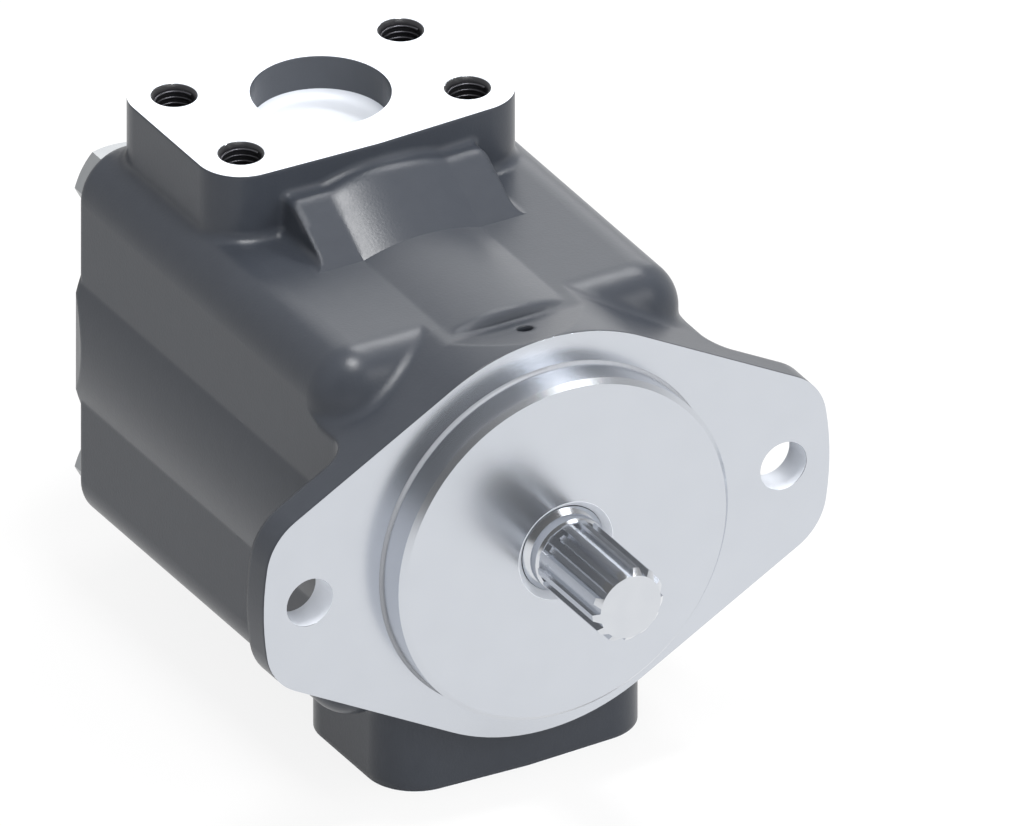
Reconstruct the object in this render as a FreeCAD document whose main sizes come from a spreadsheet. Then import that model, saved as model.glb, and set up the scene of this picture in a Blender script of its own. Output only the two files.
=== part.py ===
"""Hydraulic vane pump: two cast housings round a balanced vane cartridge.

Millimetres. The origin is on the shaft axis at the mounting face, the shaft points to -Y,
the suction port is on top (+Z) and the pressure port underneath.
"""

import FreeCAD
import Part
import Sketcher

import math
import os
import re

SIZES = [
    # Mounting flange and pilot
    ("flange_thickness", 9.3),
    ("flange_arc_overhang", 3.9),
    ("flange_arc_radius", "=body_half_width + flange_arc_overhang"),
    ("flange_tip_radius", 87.2),
    ("flange_side_angle", 61.1),
    ("flange_corner_radius", 17.0),
    ("mount_hole_spacing", 146.05),
    ("mount_hole_dia", 14.3),
    ("pilot_dia", 101.6),
    ("pilot_height", 10.2),
    ("pilot_chamfer", 1.4),
    ("pilot_root_round", 0.8),
    ("pilot_bed_depth", 1.0),
    ("ear_fillet", 6.35),
    ("dome_fillet", 4.0),
    ("weep_hole_dia", 4.5),
    ("weep_hole_at", 11.6),
    ("weep_hole_depth", 12.0),
    # Cast body
    ("chamber_wall", 8.8),
    ("body_half_width", "=suction_chamber_radius + chamber_wall"),
    ("body_front", 17.35),
    ("body_rear", 152.4),
    ("seam_at", 66.4),
    ("column_radius", 13.4),
    ("column_dome", 13.3),
    ("rear_edge_round", 1.5),
    ("bulge_rise", 2.8),
    ("bulge_radius", "=body_half_width + bulge_rise"),
    ("bulge_front", 19.5),
    ("bulge_round", 2.4),
    ("bulge_facet_rise", 1.9),
    ("bulge_facet_length", 6.0),
    ("boss_inset", 10.3),
    ("boss_radius", "=body_half_width - boss_inset"),
    ("boss_height", 19.6),
    ("boss_round", 2.5),
    # Suction port, on top
    ("suction_from_rear", 31.75),
    ("suction_at", "=body_rear - suction_from_rear"),
    ("suction_face", 76.2),
    ("suction_bore_dia", 38.1),
    ("suction_bore_depth", 12.3),
    ("suction_floor_round", 3.0),
    ("suction_passage_radius", 16.0),
    ("suction_passage_setback", 1.4),
    ("suction_passage_angle", 60.0),
    ("suction_bolt_long", 69.85),
    ("suction_bolt_short", 35.7),
    ("suction_thread_bore", 10.8),
    ("suction_thread_depth", 22.0),
    ("suction_corner_radius", 12.7),
    ("suction_wall_angle", 1.95),
    (
        "suction_block_reach",
        "=suction_bolt_long / 2 * sin(suction_wall_angle * 1deg)"
        " + suction_bolt_short / 2 * cos(suction_wall_angle * 1deg) + suction_corner_radius",
    ),
    # Pressure port, underneath
    ("pressure_at", 38.1),
    ("pressure_face", 76.2),
    ("pressure_bore_dia", 25.4),
    ("pressure_bolt_long", 52.4),
    ("pressure_bolt_short", 26.2),
    ("pressure_thread_bore", 8.8),
    ("pressure_thread_depth", 19.0),
    ("pressure_corner_radius", 14.1),
    ("pressure_wall_angle", 2.4),
    ("port_chamfer", 1.0),
    # Sloped pad in front of the suction block
    ("pad_seam_gap", 0.1),
    ("pad_front", "=seam_at + pad_seam_gap"),
    ("pad_half_width", 29.6),
    ("pad_slope", 33.2),
    ("pad_ledge", 4.3),
    ("pad_run", "=suction_at - suction_block_reach - pad_ledge - pad_front"),
    ("pad_ledge_round", 1.6),
    ("pad_root_depth", 22.0),
    ("block_fillet", 3.0),
    # Housing bolts
    ("bolt_dia", 12.0),
    ("bolt_hole_dia", 13.2),
    ("bolt_tap_bore", 12.06),
    ("bolt_head_flats", 19.0),
    ("bolt_head_height", 7.5),
    ("bolt_crown_inset", 0.38),
    ("bolt_crown_angle", 30.0),
    ("bolt_engagement", 24.0),
    ("bolt_tap_spare", 4.0),
    # Shaft bore, seal and bearing seats
    ("shaft_hole_gap", 0.15),
    ("shaft_hole_radius", "=journal_radius + shaft_hole_gap"),
    ("shaft_hole_chamfer", 1.8),
    ("seal_front", -5.5),
    ("seal_radius", 20.0),
    ("seal_width", 7.0),
    ("seal_wall", 1.2),
    ("seal_lip_gap", 0.05),
    ("bearing_front", 6.0),
    ("bearing_bore", 25.0),
    ("bearing_outer", 52.0),
    ("bearing_width", 15.0),
    ("bearing_seat_gap", 0.01),
    ("race_thickness", 4.0),
    ("race_round", 0.8),
    ("ball_dia", 8.0),
    ("ball_gap", 0.08),
    ("ball_count", 9),
    ("cage_thickness", 2.2),
    ("cage_width", 10.4),
    ("cage_pocket_gap", 0.1),
    ("ring_groove_width", 1.9),
    ("ring_groove_depth", 1.5),
    ("ring_thickness", 1.75),
    ("ring_height", 3.4),
    ("ring_opening", 9.0),
    # Pressure chamber
    ("chamber_hub_radius", 31.0),
    ("chamber_inset", 2.5),
    ("chamber_radius", "=plate_radius - chamber_inset"),
    ("chamber_front", 25.4),
    ("chamber_round", 3.0),
    # Suction chamber
    ("suction_chamber_gap", 3.5),
    ("suction_chamber_radius", "=plate_radius + suction_chamber_gap"),
    ("rear_wall", 2.4),
    ("suction_chamber_rear", "=body_rear - rear_wall"),
    ("suction_chamber_round", 4.0),
    ("pedestal_radius", 26.0),
    ("pedestal_bore_radius", 13.0),
    ("pedestal_bore_depth", 10.0),
    # Cartridge
    ("front_plate_front", 52.0),
    ("front_plate_thickness", 16.0),
    ("plate_rim", 2.0),
    ("plate_radius", "=cam_outer_radius + plate_rim"),
    ("plate_gap", 0.05),
    ("spigot_length", 17.0),
    ("plate_bore_radius", 12.8),
    ("cam_width", 30.0),
    ("cam_wall", 7.8),
    ("cam_outer_radius", "=cam_minor_radius + cam_stroke + cam_wall"),
    ("rotor_gap", 0.6),
    ("cam_minor_radius", "=rotor_radius + rotor_gap"),
    ("cam_stroke", 3.6),
    ("rear_plate_thickness", 14.0),
    ("side_gap", 0.03),
    ("rotor_radius", 30.0),
    ("vane_count", 10),
    ("vane_start_angle", 0.0),
    ("vane_thickness", 2.2),
    ("vane_root_radius", 18.94),
    ("vane_length", "=cam_minor_radius - vane_tip_gap - vane_root_radius"),
    ("vane_tip_flat", 0.8),
    ("vane_tip_gap", 0.06),
    ("slot_gap", 0.025),
    ("slot_floor_radius", 17.3),
    ("slot_hole_radius", 1.7),
    ("kidney_overlap", 0.2),
    ("kidney_inner_radius", "=cam_minor_radius - kidney_overlap"),
    ("kidney_outer_radius", "=cam_minor_radius + cam_stroke - 2 * kidney_overlap"),
    ("kidney_half_angle", 24.0),
    ("inlet_angle", 45.0),
    ("outlet_angle", 135.0),
    ("feed_inner_radius", 15.6),
    ("feed_outer_radius", 19.0),
    ("feed_depth", 1.5),
    ("cartridge_hole_wall", 4.0),
    ("cartridge_hole_circle", "=cam_minor_radius + cam_stroke + cartridge_hole_wall"),
    ("cartridge_hole_angle", 15.0),
    ("dowel_dia", 5.0),
    ("dowel_bite", 8.0),
    ("screw_dia", 5.0),
    ("screw_bite", 9.0),
    ("screw_head_dia", 8.5),
    ("screw_head_height", 5.0),
    ("screw_head_recess", 5.4),
    ("screw_hex", 4.0),
    ("hole_gap", 0.05),
    ("bush_wall", 2.0),
    ("bush_gap", 0.03),
    # Seal rings
    ("cord_dia", 2.6),
    ("cord_gap", 0.03),
    ("seam_ring_wall", 3.3),
    ("seam_ring_radius", "=suction_chamber_radius + seam_ring_wall"),
    ("plate_ring_at", 55.5),
    ("spigot_ring_at", 42.0),
    # Shaft
    ("shaft_tip", -44.9),
    ("spline_end", -14.2),
    ("spline_teeth", 13),
    ("spline_major_radius", 10.9),
    ("spline_root_radius", 9.25),
    ("spline_crest_width", 1.7),
    ("spline_root_width", 1.5),
    ("shaft_tip_chamfer", "=spline_major_radius - spline_root_radius"),
    ("neck_radius", 11.0),
    ("neck_front", -13.0),
    ("neck_rear", "=-pilot_height"),
    ("neck_groove_radius", 10.3),
    ("journal_radius", 12.5),
    ("shoulder_radius", 15.5),
    ("shoulder_width", 2.6),
    ("drive_major_radius", 12.0),
    ("drive_root_radius", 10.6),
    ("drive_crest_width", 2.4),
    ("drive_root_width", 2.0),
    ("drive_teeth", 12),
    ("drive_gap", 0.04),
    ("drive_end_gap", 0.3),
    ("tail_radius", 9.5),
    ("tail_clearance", 0.5),
    # How far a cut runs past the face that it opens
    ("cut_spare", 1.0),
]

document = FreeCAD.newDocument("vane_pump")
sheet = document.addObject("Spreadsheet::Sheet", "sizes")
for row, (alias, size) in enumerate(SIZES, start=1):
    sheet.set(f"A{row}", alias)
    sheet.setAlias(f"B{row}", alias)
for row, (alias, size) in enumerate(SIZES, start=1):
    sheet.set(f"B{row}", str(size))
document.recompute()
ALIASES = {alias for alias, size in SIZES}


def bind(expression):
    """The expression with each size written as a reference to the sheet."""
    return re.sub(
        r"[a-z_]+", lambda word: "sizes." + word[0] if word[0] in ALIASES else word[0], expression
    )


def value(expression):
    """What an expression on the sheet's sizes comes to."""
    result = sheet.evalExpression(bind(expression))
    return float(getattr(result, "Value", result))


# Places along the shaft that several pieces share
BEARING_REAR = "(bearing_front + bearing_width)"
PLATE_FACE = "(front_plate_front + front_plate_thickness)"
CAM_REAR = f"({PLATE_FACE} + cam_width)"
PEDESTAL_FACE = f"({CAM_REAR} + rear_plate_thickness)"
BOLT_OFFSET = "(body_half_width - column_radius)"
TAIL_END = f"({PEDESTAL_FACE} - tail_clearance)"
HUB_BORE = "(bearing_outer / 2 + bearing_seat_gap)"
ARC_END = (
    "flange_arc_radius * cos(flange_side_angle)",
    "flange_arc_radius * sin(flange_side_angle)",
)
PLANE_OFFSET_SIGN = {"XZ_Plane": "-", "XY_Plane": "", "YZ_Plane": ""}


def new_body(name):
    body = document.addObject("PartDesign::Body", name)
    body.Label = name
    return body


def new_sketch(body, plane, name, at="0"):
    """A sketch on one of the body's origin planes, moved along the row axis to a place."""
    sketch = body.newObject("Sketcher::SketchObject", name)
    support = next(item for item in body.Origin.OriginFeatures if item.Role == plane)
    sketch.AttachmentSupport = (support, [""])
    sketch.MapMode = "FlatFace"
    sketch.setExpression("AttachmentOffset.Base.z", bind(f"{PLANE_OFFSET_SIGN[plane]}({at})"))
    return sketch


def hold_point(sketch, geometry, position, x, y):
    """Dimension one point of a sketch from the sketch's origin."""
    for kind, expression, axis in (("DistanceX", x, -2), ("DistanceY", y, -1)):
        if expression == "0":
            sketch.addConstraint(Sketcher.Constraint("PointOnObject", geometry, position, axis))
            continue
        number = value(expression)
        index = sketch.addConstraint(Sketcher.Constraint(kind, -1, 1, geometry, position, number))
        sketch.setExpression(f"Constraints[{index}]", bind(expression))


def arc_edge(start, end, radius):
    """The short arc between two points. A positive radius has its centre on the left of the way."""
    chord = end - start
    height = math.sqrt(max(radius * radius - chord.Length**2 / 4, 0.0))
    left = FreeCAD.Vector(-chord.y, chord.x, 0).normalize()
    centre = (start + end) / 2 + left * math.copysign(height, radius)
    first, last = (start, end) if radius > 0 else (end, start)
    angles = [math.atan2(point.y - centre.y, point.x - centre.x) for point in (first, last)]
    circle = Part.Circle(centre, FreeCAD.Vector(0, 0, 1), abs(radius))
    return Part.ArcOfCircle(circle, angles[0], angles[1])


def add_loop(sketch, corners):
    """A closed outline. A corner is (x, y), or (x, y, radius) where an arc leads to the next one."""
    points = [FreeCAD.Vector(value(corner[0]), value(corner[1]), 0) for corner in corners]
    edges = []
    for index, corner in enumerate(corners):
        start, end = points[index], points[(index + 1) % len(points)]
        if len(corner) == 2:
            edges.append((sketch.addGeometry(Part.LineSegment(start, end), False), 1, 2))
            continue
        radius = value(corner[2])
        geometry = sketch.addGeometry(arc_edge(start, end, radius), False)
        edges.append((geometry, 1, 2) if radius > 0 else (geometry, 2, 1))
    for index, (geometry, begin, finish) in enumerate(edges):
        following = edges[(index + 1) % len(edges)]
        sketch.addConstraint(
            Sketcher.Constraint("Coincident", geometry, finish, following[0], following[1])
        )
        hold_point(sketch, geometry, begin, corners[index][0], corners[index][1])
        if len(corners[index]) == 3:
            size = corners[index][2].lstrip("-")
            constraint = sketch.addConstraint(
                Sketcher.Constraint("Radius", geometry, value(size))
            )
            sketch.setExpression(f"Constraints[{constraint}]", bind(size))


def add_circle(sketch, x, y, radius):
    circle = Part.Circle(
        FreeCAD.Vector(value(x), value(y), 0), FreeCAD.Vector(0, 0, 1), value(radius)
    )
    geometry = sketch.addGeometry(circle, False)
    hold_point(sketch, geometry, 3, x, y)
    constraint = sketch.addConstraint(Sketcher.Constraint("Radius", geometry, value(radius)))
    sketch.setExpression(f"Constraints[{constraint}]", bind(radius))


def outline(body, plane, name, corners, at="0"):
    sketch = new_sketch(body, plane, name, at)
    add_loop(sketch, corners)
    return sketch


def circles(body, plane, name, places, radius, at="0"):
    sketch = new_sketch(body, plane, name, at)
    for x, y in places:
        add_circle(sketch, x, y, radius)
    return sketch


def feature(body, kind, name, sketch, **settings):
    """A sketched feature. Settings given as text are bound to the sheet."""
    made = body.newObject(f"PartDesign::{kind}", name)
    made.Profile = sketch
    for key, setting in settings.items():
        if isinstance(setting, str):
            made.setExpression(key, bind(setting))
        else:
            setattr(made, key, setting)
    document.recompute()
    return made


def turned(body, kind, name, corners):
    """A profile turned about the shaft axis: each corner is (radius, place along Y)."""
    sketch = outline(body, "XY_Plane", name + "_profile", corners)
    return feature(body, kind, name, sketch, ReferenceAxis=(sketch, ["V_Axis"]), Angle=360.0)


def turned_body(name, corners):
    body = new_body(name)
    turned(body, "Revolution", name + "_turning", corners)
    return body


def around_shaft(body, name, originals, count):
    """Copies of features, evenly round the shaft axis."""
    pattern = body.newObject("PartDesign::PolarPattern", name)
    pattern.Originals = originals
    axis = next(item for item in body.Origin.OriginFeatures if item.Role == "Y_Axis")
    pattern.Axis = (axis, [""])
    pattern.Angle = 360.0
    pattern.setExpression("Occurrences", bind(count))
    body.Tip = pattern
    document.recompute()
    return pattern


def dress(body, kind, name, size, wanted):
    """A fillet or chamfer on the edges of the body's tip that a test picks."""
    base = body.Tip
    picked = [
        f"Edge{index}" for index, edge in enumerate(base.Shape.Edges, start=1) if wanted(edge)
    ]
    made = body.newObject(f"PartDesign::{kind}", name)
    made.Base = (base, picked)
    made.setExpression("Radius" if kind == "Fillet" else "Size", bind(size))
    document.recompute()
    return made


def lies_at(edge, axis, place, slack=0.01):
    """Whether a whole edge lies in one plane across a row axis."""
    box = edge.BoundBox
    low, high = (getattr(box, axis + end) for end in ("Min", "Max"))
    return abs(low - place) < slack and abs(high - place) < slack


def four_places(across, along, centre="0"):
    """Four places on a rectangle round a point on the second axis."""
    return [
        (f"{side}({across})", f"{centre} {end} ({along})")
        for side in ("", "-")
        for end in ("+", "-")
    ]


def square_section():
    half, flat, radius = "body_half_width", f"{BOLT_OFFSET}", "column_radius"
    return [
        (half, f"-{flat}"),
        (half, flat, radius),
        (flat, half),
        (f"-{flat}", half, radius),
        (f"-{half}", flat),
        (f"-{half}", f"-{flat}", radius),
        (f"-{flat}", f"-{half}"),
        (flat, f"-{half}", radius),
    ]


def mirrored_twice(quarter, side_radius=None):
    """A closed outline from its first quarter. A corner is (x, y, radius of the arc to the next)."""
    half = list(quarter)
    back = quarter[::-1]
    for step, (x, y, radius) in enumerate(back):
        bend = back[step + 1][2] if step + 1 < len(back) else side_radius
        half.append((f"-({x})", y, bend))
    whole = half + [(f"-({x})", f"-({y})", radius) for x, y, radius in half]
    return [(x, y, radius) if radius else (x, y) for x, y, radius in whole]


def flange_outline():
    """The two-bolt flange: a middle arc, tangent sides, and a rounded tip at each end."""
    corner_reach = "(flange_tip_radius - flange_corner_radius)"
    inset = "(flange_arc_radius - flange_corner_radius)"
    corner_angle = f"(flange_side_angle * 1deg - acos({inset} / {corner_reach}))"
    centre = [f"{corner_reach} * {turn}({corner_angle})" for turn in ("cos", "sin")]
    quarter = [
        (
            f"flange_tip_radius * cos({corner_angle})",
            f"flange_tip_radius * sin({corner_angle})",
            "flange_corner_radius",
        ),
        (
            f"{centre[0]} + flange_corner_radius * cos(flange_side_angle)",
            f"{centre[1]} + flange_corner_radius * sin(flange_side_angle)",
            None,
        ),
        (*ARC_END, "flange_arc_radius"),
    ]
    return mirrored_twice(quarter, "flange_tip_radius")


def nose_outline(clipped):
    """The flange's middle, cut off at the width of the cast body, and on request at its height."""
    side = "(flange_arc_radius - body_half_width * cos(flange_side_angle)) / sin(flange_side_angle)"
    quarter = [("body_half_width", side, None), (*ARC_END, "flange_arc_radius")]
    if clipped:
        half_chord = "sqrt(flange_arc_radius^2 - body_half_width^2)"
        quarter.append((half_chord, "body_half_width", None))
    return mirrored_twice(quarter)


def port_outline(port):
    """A port block: round corners at its bolts, and end walls that swell to a middle arc."""
    across, along = f"{port}_bolt_long / 2", f"{port}_bolt_short / 2"
    corner, turn = f"{port}_corner_radius", f"{port}_wall_angle"
    swell = f"({across} * sin({turn}) + {along} * cos({turn}) + {corner})"
    quarter = [
        (f"{across} + {corner}", along, corner),
        (f"{across} + {corner} * sin({turn})", f"{along} + {corner} * cos({turn})", None),
        (f"{swell} * sin({turn})", f"{swell} * cos({turn})", swell),
    ]
    return [(x, f"{port}_at + {y}", *radius) for x, y, *radius in mirrored_twice(quarter)]


def port_holes(body, port, face_sign):
    """The port's bore and its four tapped holes, from the block's face inwards."""
    face = f"{face_sign}{port}_face"
    inwards = face_sign == "-"
    threads = circles(
        body,
        "XY_Plane",
        f"{port}_thread_places",
        four_places(f"{port}_bolt_long / 2", f"{port}_bolt_short / 2", f"{port}_at"),
        f"{port}_thread_bore / 2",
        face,
    )
    feature(
        body, "Pocket", f"{port}_threads", threads, Length=f"{port}_thread_depth", Reversed=inwards
    )
    height = value(face)
    across = value(f"{port}_thread_bore")

    def is_mouth(edge):
        box = edge.BoundBox
        widths = (box.XMax - box.XMin, box.YMax - box.YMin)
        return lies_at(edge, "Z", height) and all(abs(width - across) < 0.01 for width in widths)

    dress(body, "Chamfer", f"{port}_thread_chamfers", "port_chamfer", is_mouth)


def front_housing():
    body = new_body("front_housing")
    square = outline(body, "XZ_Plane", "column_section", square_section(), "body_front")
    feature(body, "Pad", "columns", square, Length="seam_at - body_front", Reversed=True)
    front = value("body_front")
    dress(body, "Fillet", "column_domes", "column_dome", lambda edge: lies_at(edge, "Y", front))
    turned(
        body,
        "Revolution",
        "front_bulge",
        [
            ("0", "bulge_front"),
            ("bulge_radius - bulge_round", "bulge_front", "bulge_round"),
            ("bulge_radius", "bulge_front + bulge_round"),
            ("bulge_radius", "seam_at"),
            ("0", "seam_at"),
        ],
    )
    low_nose = outline(body, "XZ_Plane", "low_nose_section", nose_outline(True))
    feature(body, "Pad", "low_nose", low_nose, Length="body_front + column_dome", Reversed=True)
    nose = outline(body, "XZ_Plane", "nose_section", nose_outline(False))
    feature(body, "Pad", "nose", nose, Length="body_front", Reversed=True)
    dress(body, "Fillet", "dome_fillets", "dome_fillet", meets_dome)
    plate = outline(body, "XZ_Plane", "flange_section", flange_outline())
    feature(body, "Pad", "flange_plate", plate, Length="flange_thickness", Reversed=True)
    ear_rear = value("flange_thickness")
    half = value("body_half_width")
    dress(
        body,
        "Fillet",
        "ear_fillets",
        "ear_fillet",
        lambda edge: lies_at(edge, "Y", ear_rear)
        and (lies_at(edge, "X", half) or lies_at(edge, "X", -half)),
    )
    facet = outline(
        body,
        "YZ_Plane",
        "relief_section",
        [
            ("-pilot_chamfer", "flange_arc_radius + (flange_arc_radius - body_half_width)"
             " * pilot_chamfer / body_front"),
            ("body_front", "body_half_width"),
            ("body_front", "flange_arc_radius + bulge_round"),
            ("-pilot_chamfer", "flange_arc_radius + bulge_round"),
        ],
    )
    feature(body, "Pocket", "top_relief", facet, Length="flange_arc_radius", Midplane=True)
    turned(
        body,
        "Revolution",
        "pilot",
        [
            ("0", "pilot_bed_depth"),
            ("0", "-pilot_height"),
            ("pilot_dia / 2 - pilot_chamfer", "-pilot_height"),
            ("pilot_dia / 2", "pilot_chamfer - pilot_height"),
            ("pilot_dia / 2", "-pilot_root_round", "-pilot_root_round"),
            ("pilot_dia / 2 + pilot_root_round", "0"),
            ("pilot_dia / 2 + pilot_root_round", "pilot_bed_depth"),
        ],
    )
    block = outline(body, "XY_Plane", "pressure_section", port_outline("pressure"), "-pressure_face")
    feature(body, "Pad", "pressure_block", block, Length="pressure_face - chamber_hub_radius")
    front_hollows(body)
    port_holes(body, "pressure", "-")
    front_holes(body)
    return body


def meets_dome(edge):
    """Whether an edge is where a column's domed end meets the side of the nose."""
    box = edge.BoundBox
    across = min(abs(box.XMin), abs(box.XMax)), max(abs(box.XMin), abs(box.XMax))
    up = min(abs(box.ZMin), abs(box.ZMax)), max(abs(box.ZMin), abs(box.ZMax))
    front, column = value("body_front"), value(BOLT_OFFSET)
    reach, slack = value("dome_fillet") + 1, 0.1
    in_front = front < box.YMin and box.YMax < front + reach
    beside = across[0] > value(ARC_END[0]) - slack and across[1] < column + reach
    return in_front and beside and column - slack < up[0] and up[1] < value(ARC_END[1]) + slack


def front_hollows(body):
    """The stepped bore for seal, bearing and pressure plate, and the ring-shaped chamber."""
    hole, chamfer = "shaft_hole_radius", "shaft_hole_chamfer"
    turned(
        body,
        "Groove",
        "stepped_bore",
        [
            ("0", "-pilot_height"),
            (f"{hole} + {chamfer}", "-pilot_height"),
            (hole, f"{chamfer} - pilot_height"),
            (hole, "seal_front"),
            ("seal_radius", "seal_front"),
            ("seal_radius", "bearing_front"),
            (HUB_BORE, "bearing_front"),
            (HUB_BORE, BEARING_REAR),
            (f"{HUB_BORE} + ring_groove_depth", BEARING_REAR),
            (f"{HUB_BORE} + ring_groove_depth", f"{BEARING_REAR} + ring_groove_width"),
            (HUB_BORE, f"{BEARING_REAR} + ring_groove_width"),
            (HUB_BORE, "front_plate_front"),
            ("plate_radius", "front_plate_front"),
            ("plate_radius", "seam_at"),
            ("0", "seam_at"),
        ],
    )
    inner, outer = "chamber_hub_radius", "chamber_radius"
    turned(
        body,
        "Groove",
        "pressure_chamber",
        [
            (inner, "front_plate_front"),
            (inner, "chamber_front + chamber_round", "chamber_round"),
            (f"{inner} + chamber_round", "chamber_front"),
            (f"{outer} - chamber_round", "chamber_front", "chamber_round"),
            (outer, "chamber_front + chamber_round"),
            (outer, "front_plate_front"),
        ],
    )
    groove = "(cord_dia / 2 + cord_gap)"
    turned(
        body,
        "Groove",
        "seam_ring_groove",
        [
            (f"seam_ring_radius - {groove}", f"seam_at - 2 * {groove}"),
            (f"seam_ring_radius + {groove}", f"seam_at - 2 * {groove}"),
            (f"seam_ring_radius + {groove}", "seam_at"),
            (f"seam_ring_radius - {groove}", "seam_at"),
        ],
    )


def front_holes(body):
    """The pressure port's bore and the bolt, mounting and weep holes."""
    bore = circles(
        body, "XY_Plane", "pressure_bore_place", [("0", "pressure_at")],
        "pressure_bore_dia / 2", "-pressure_face",
    )
    feature(
        body, "Pocket", "pressure_bore", bore,
        Length="pressure_face - (chamber_hub_radius + chamber_radius) / 2", Reversed=True,
    )
    taps = circles(
        body, "XZ_Plane", "bolt_tap_places", four_places(BOLT_OFFSET, BOLT_OFFSET),
        "bolt_tap_bore / 2", "seam_at",
    )
    feature(
        body, "Pocket", "bolt_taps", taps,
        Length="bolt_engagement + bolt_tap_spare", Reversed=True,
    )
    mounts = circles(
        body, "XZ_Plane", "mount_hole_places",
        [("mount_hole_spacing / 2", "0"), ("-mount_hole_spacing / 2", "0")], "mount_hole_dia / 2",
    )
    feature(body, "Pocket", "mount_holes", mounts, Length="flange_thickness")
    weep = circles(
        body, "XY_Plane", "weep_hole_place", [("0", "weep_hole_at")],
        "weep_hole_dia / 2", "flange_arc_radius",
    )
    feature(body, "Pocket", "weep_hole", weep, Length="weep_hole_depth")


def rear_housing():
    body = new_body("rear_housing")
    square = outline(body, "XZ_Plane", "column_section", square_section(), "seam_at")
    feature(body, "Pad", "columns", square, Length="body_rear - seam_at", Reversed=True)
    rear = value("body_rear")
    dress(body, "Fillet", "rear_edge", "rear_edge_round", lambda edge: lies_at(edge, "Y", rear))
    turned(
        body,
        "Revolution",
        "rear_bulge",
        [
            ("0", "seam_at"),
            ("bulge_radius", "seam_at"),
            ("bulge_radius", "body_rear"),
            ("0", "body_rear"),
        ],
    )
    facet = outline(
        body,
        "XY_Plane",
        "facet_section",
        [
            ("bulge_radius", "body_rear - bulge_facet_length"),
            ("bulge_radius + bulge_facet_rise", "body_rear - bulge_facet_length"),
            ("bulge_radius + bulge_facet_rise", "body_rear"),
            ("bulge_radius - bulge_facet_rise", "body_rear"),
        ],
    )
    first = feature(body, "Pocket", "bulge_facet", facet, Length="bulge_radius", Midplane=True)
    around_shaft(body, "bulge_facets", [first], "4")
    turned(
        body,
        "Revolution",
        "rear_boss",
        [
            ("0", "body_rear - boss_round"),
            ("boss_radius", "body_rear - boss_round"),
            ("boss_radius", "body_rear + boss_height - boss_round", "boss_round"),
            ("boss_radius - boss_round", "body_rear + boss_height"),
            ("0", "body_rear + boss_height"),
        ],
    )
    block = outline(
        body, "XY_Plane", "suction_section", port_outline("suction"), "pedestal_radius"
    )
    feature(body, "Pad", "suction_block", block, Length="suction_face - pedestal_radius")
    sloped_pad(body)
    suction_fillets(body)
    rear_hollows(body)
    port_holes(body, "suction", "")
    rear_holes(body)
    return body


def sloped_pad(body):
    """The body's own top profile, drawn out along a slope, then level into the suction block."""
    slope = math.radians(value("pad_slope"))
    feature(
        body, "Pad", "sloped_pad", pad_section(body, "pad_section", "0", "pad_front"),
        Length="pad_run", AlongSketchNormal=True,
        UseCustomVector=True, Direction=FreeCAD.Vector(0, math.cos(slope), math.sin(slope)),
    )
    crest = "(pad_front + pad_run)"
    ledge = pad_section(body, "ledge_section", "pad_run * tan(pad_slope)", crest)
    feature(body, "Pad", "pad_ledge", ledge, Length=f"suction_at - {crest}", Reversed=True)


def pad_section(body, name, lift, at):
    """The flat sides and the swelling middle of the body's top, lifted."""
    low = "body_half_width - pad_root_depth"
    high = f"body_half_width + {lift}"
    hump = "sqrt(bulge_radius^2 - body_half_width^2)"
    corners = [
        ("-pad_half_width", low),
        ("pad_half_width", low),
        ("pad_half_width", high),
        (hump, high, "bulge_radius"),
        (f"-{hump}", high),
        ("-pad_half_width", high),
    ]
    return outline(body, "XZ_Plane", name, corners, at)


def suction_fillets(body):
    """Soft corners at the foot of the suction block and the pad, and along the pad's ledge."""
    flat, side = value("body_half_width"), value("pad_half_width")
    start, column = value("pad_front"), value(BOLT_OFFSET)
    middle, face = value("suction_at"), value("suction_face")
    past_edge, well_inside, slack = 1.0, 10.0, 0.1

    def at_foot(edge):
        on_column = lies_at(edge, "X", column) or lies_at(edge, "X", -column)
        ahead = start + past_edge < edge.BoundBox.YMax < middle
        return lies_at(edge, "Z", flat) and ahead and not on_column

    def round_ledge(edge):
        box = edge.BoundBox
        between = box.YMin > start + well_inside and box.YMax < middle - well_inside
        level = box.ZMin > flat - slack and box.ZMax < face - past_edge
        return between and level and max(abs(box.XMin), abs(box.XMax)) < side + slack

    dress(body, "Fillet", "block_fillets", "block_fillet", at_foot)
    dress(body, "Fillet", "ledge_fillets", "pad_ledge_round", round_ledge)


def rear_hollows(body):
    """The chamber round the cartridge, with the pedestal that the rear plate rests on."""
    rear, corner = "suction_chamber_rear", "suction_chamber_round"
    turned(
        body,
        "Groove",
        "suction_chamber",
        [
            ("0", "seam_at"),
            ("suction_chamber_radius", "seam_at"),
            ("suction_chamber_radius", f"{rear} - {corner}", corner),
            (f"suction_chamber_radius - {corner}", rear),
            (f"pedestal_radius + {corner}", rear, corner),
            ("pedestal_radius", f"{rear} - {corner}"),
            ("pedestal_radius", PEDESTAL_FACE),
            ("pedestal_bore_radius", PEDESTAL_FACE),
            ("pedestal_bore_radius", f"{PEDESTAL_FACE} + pedestal_bore_depth"),
            ("0", f"{PEDESTAL_FACE} + pedestal_bore_depth"),
        ],
    )


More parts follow.
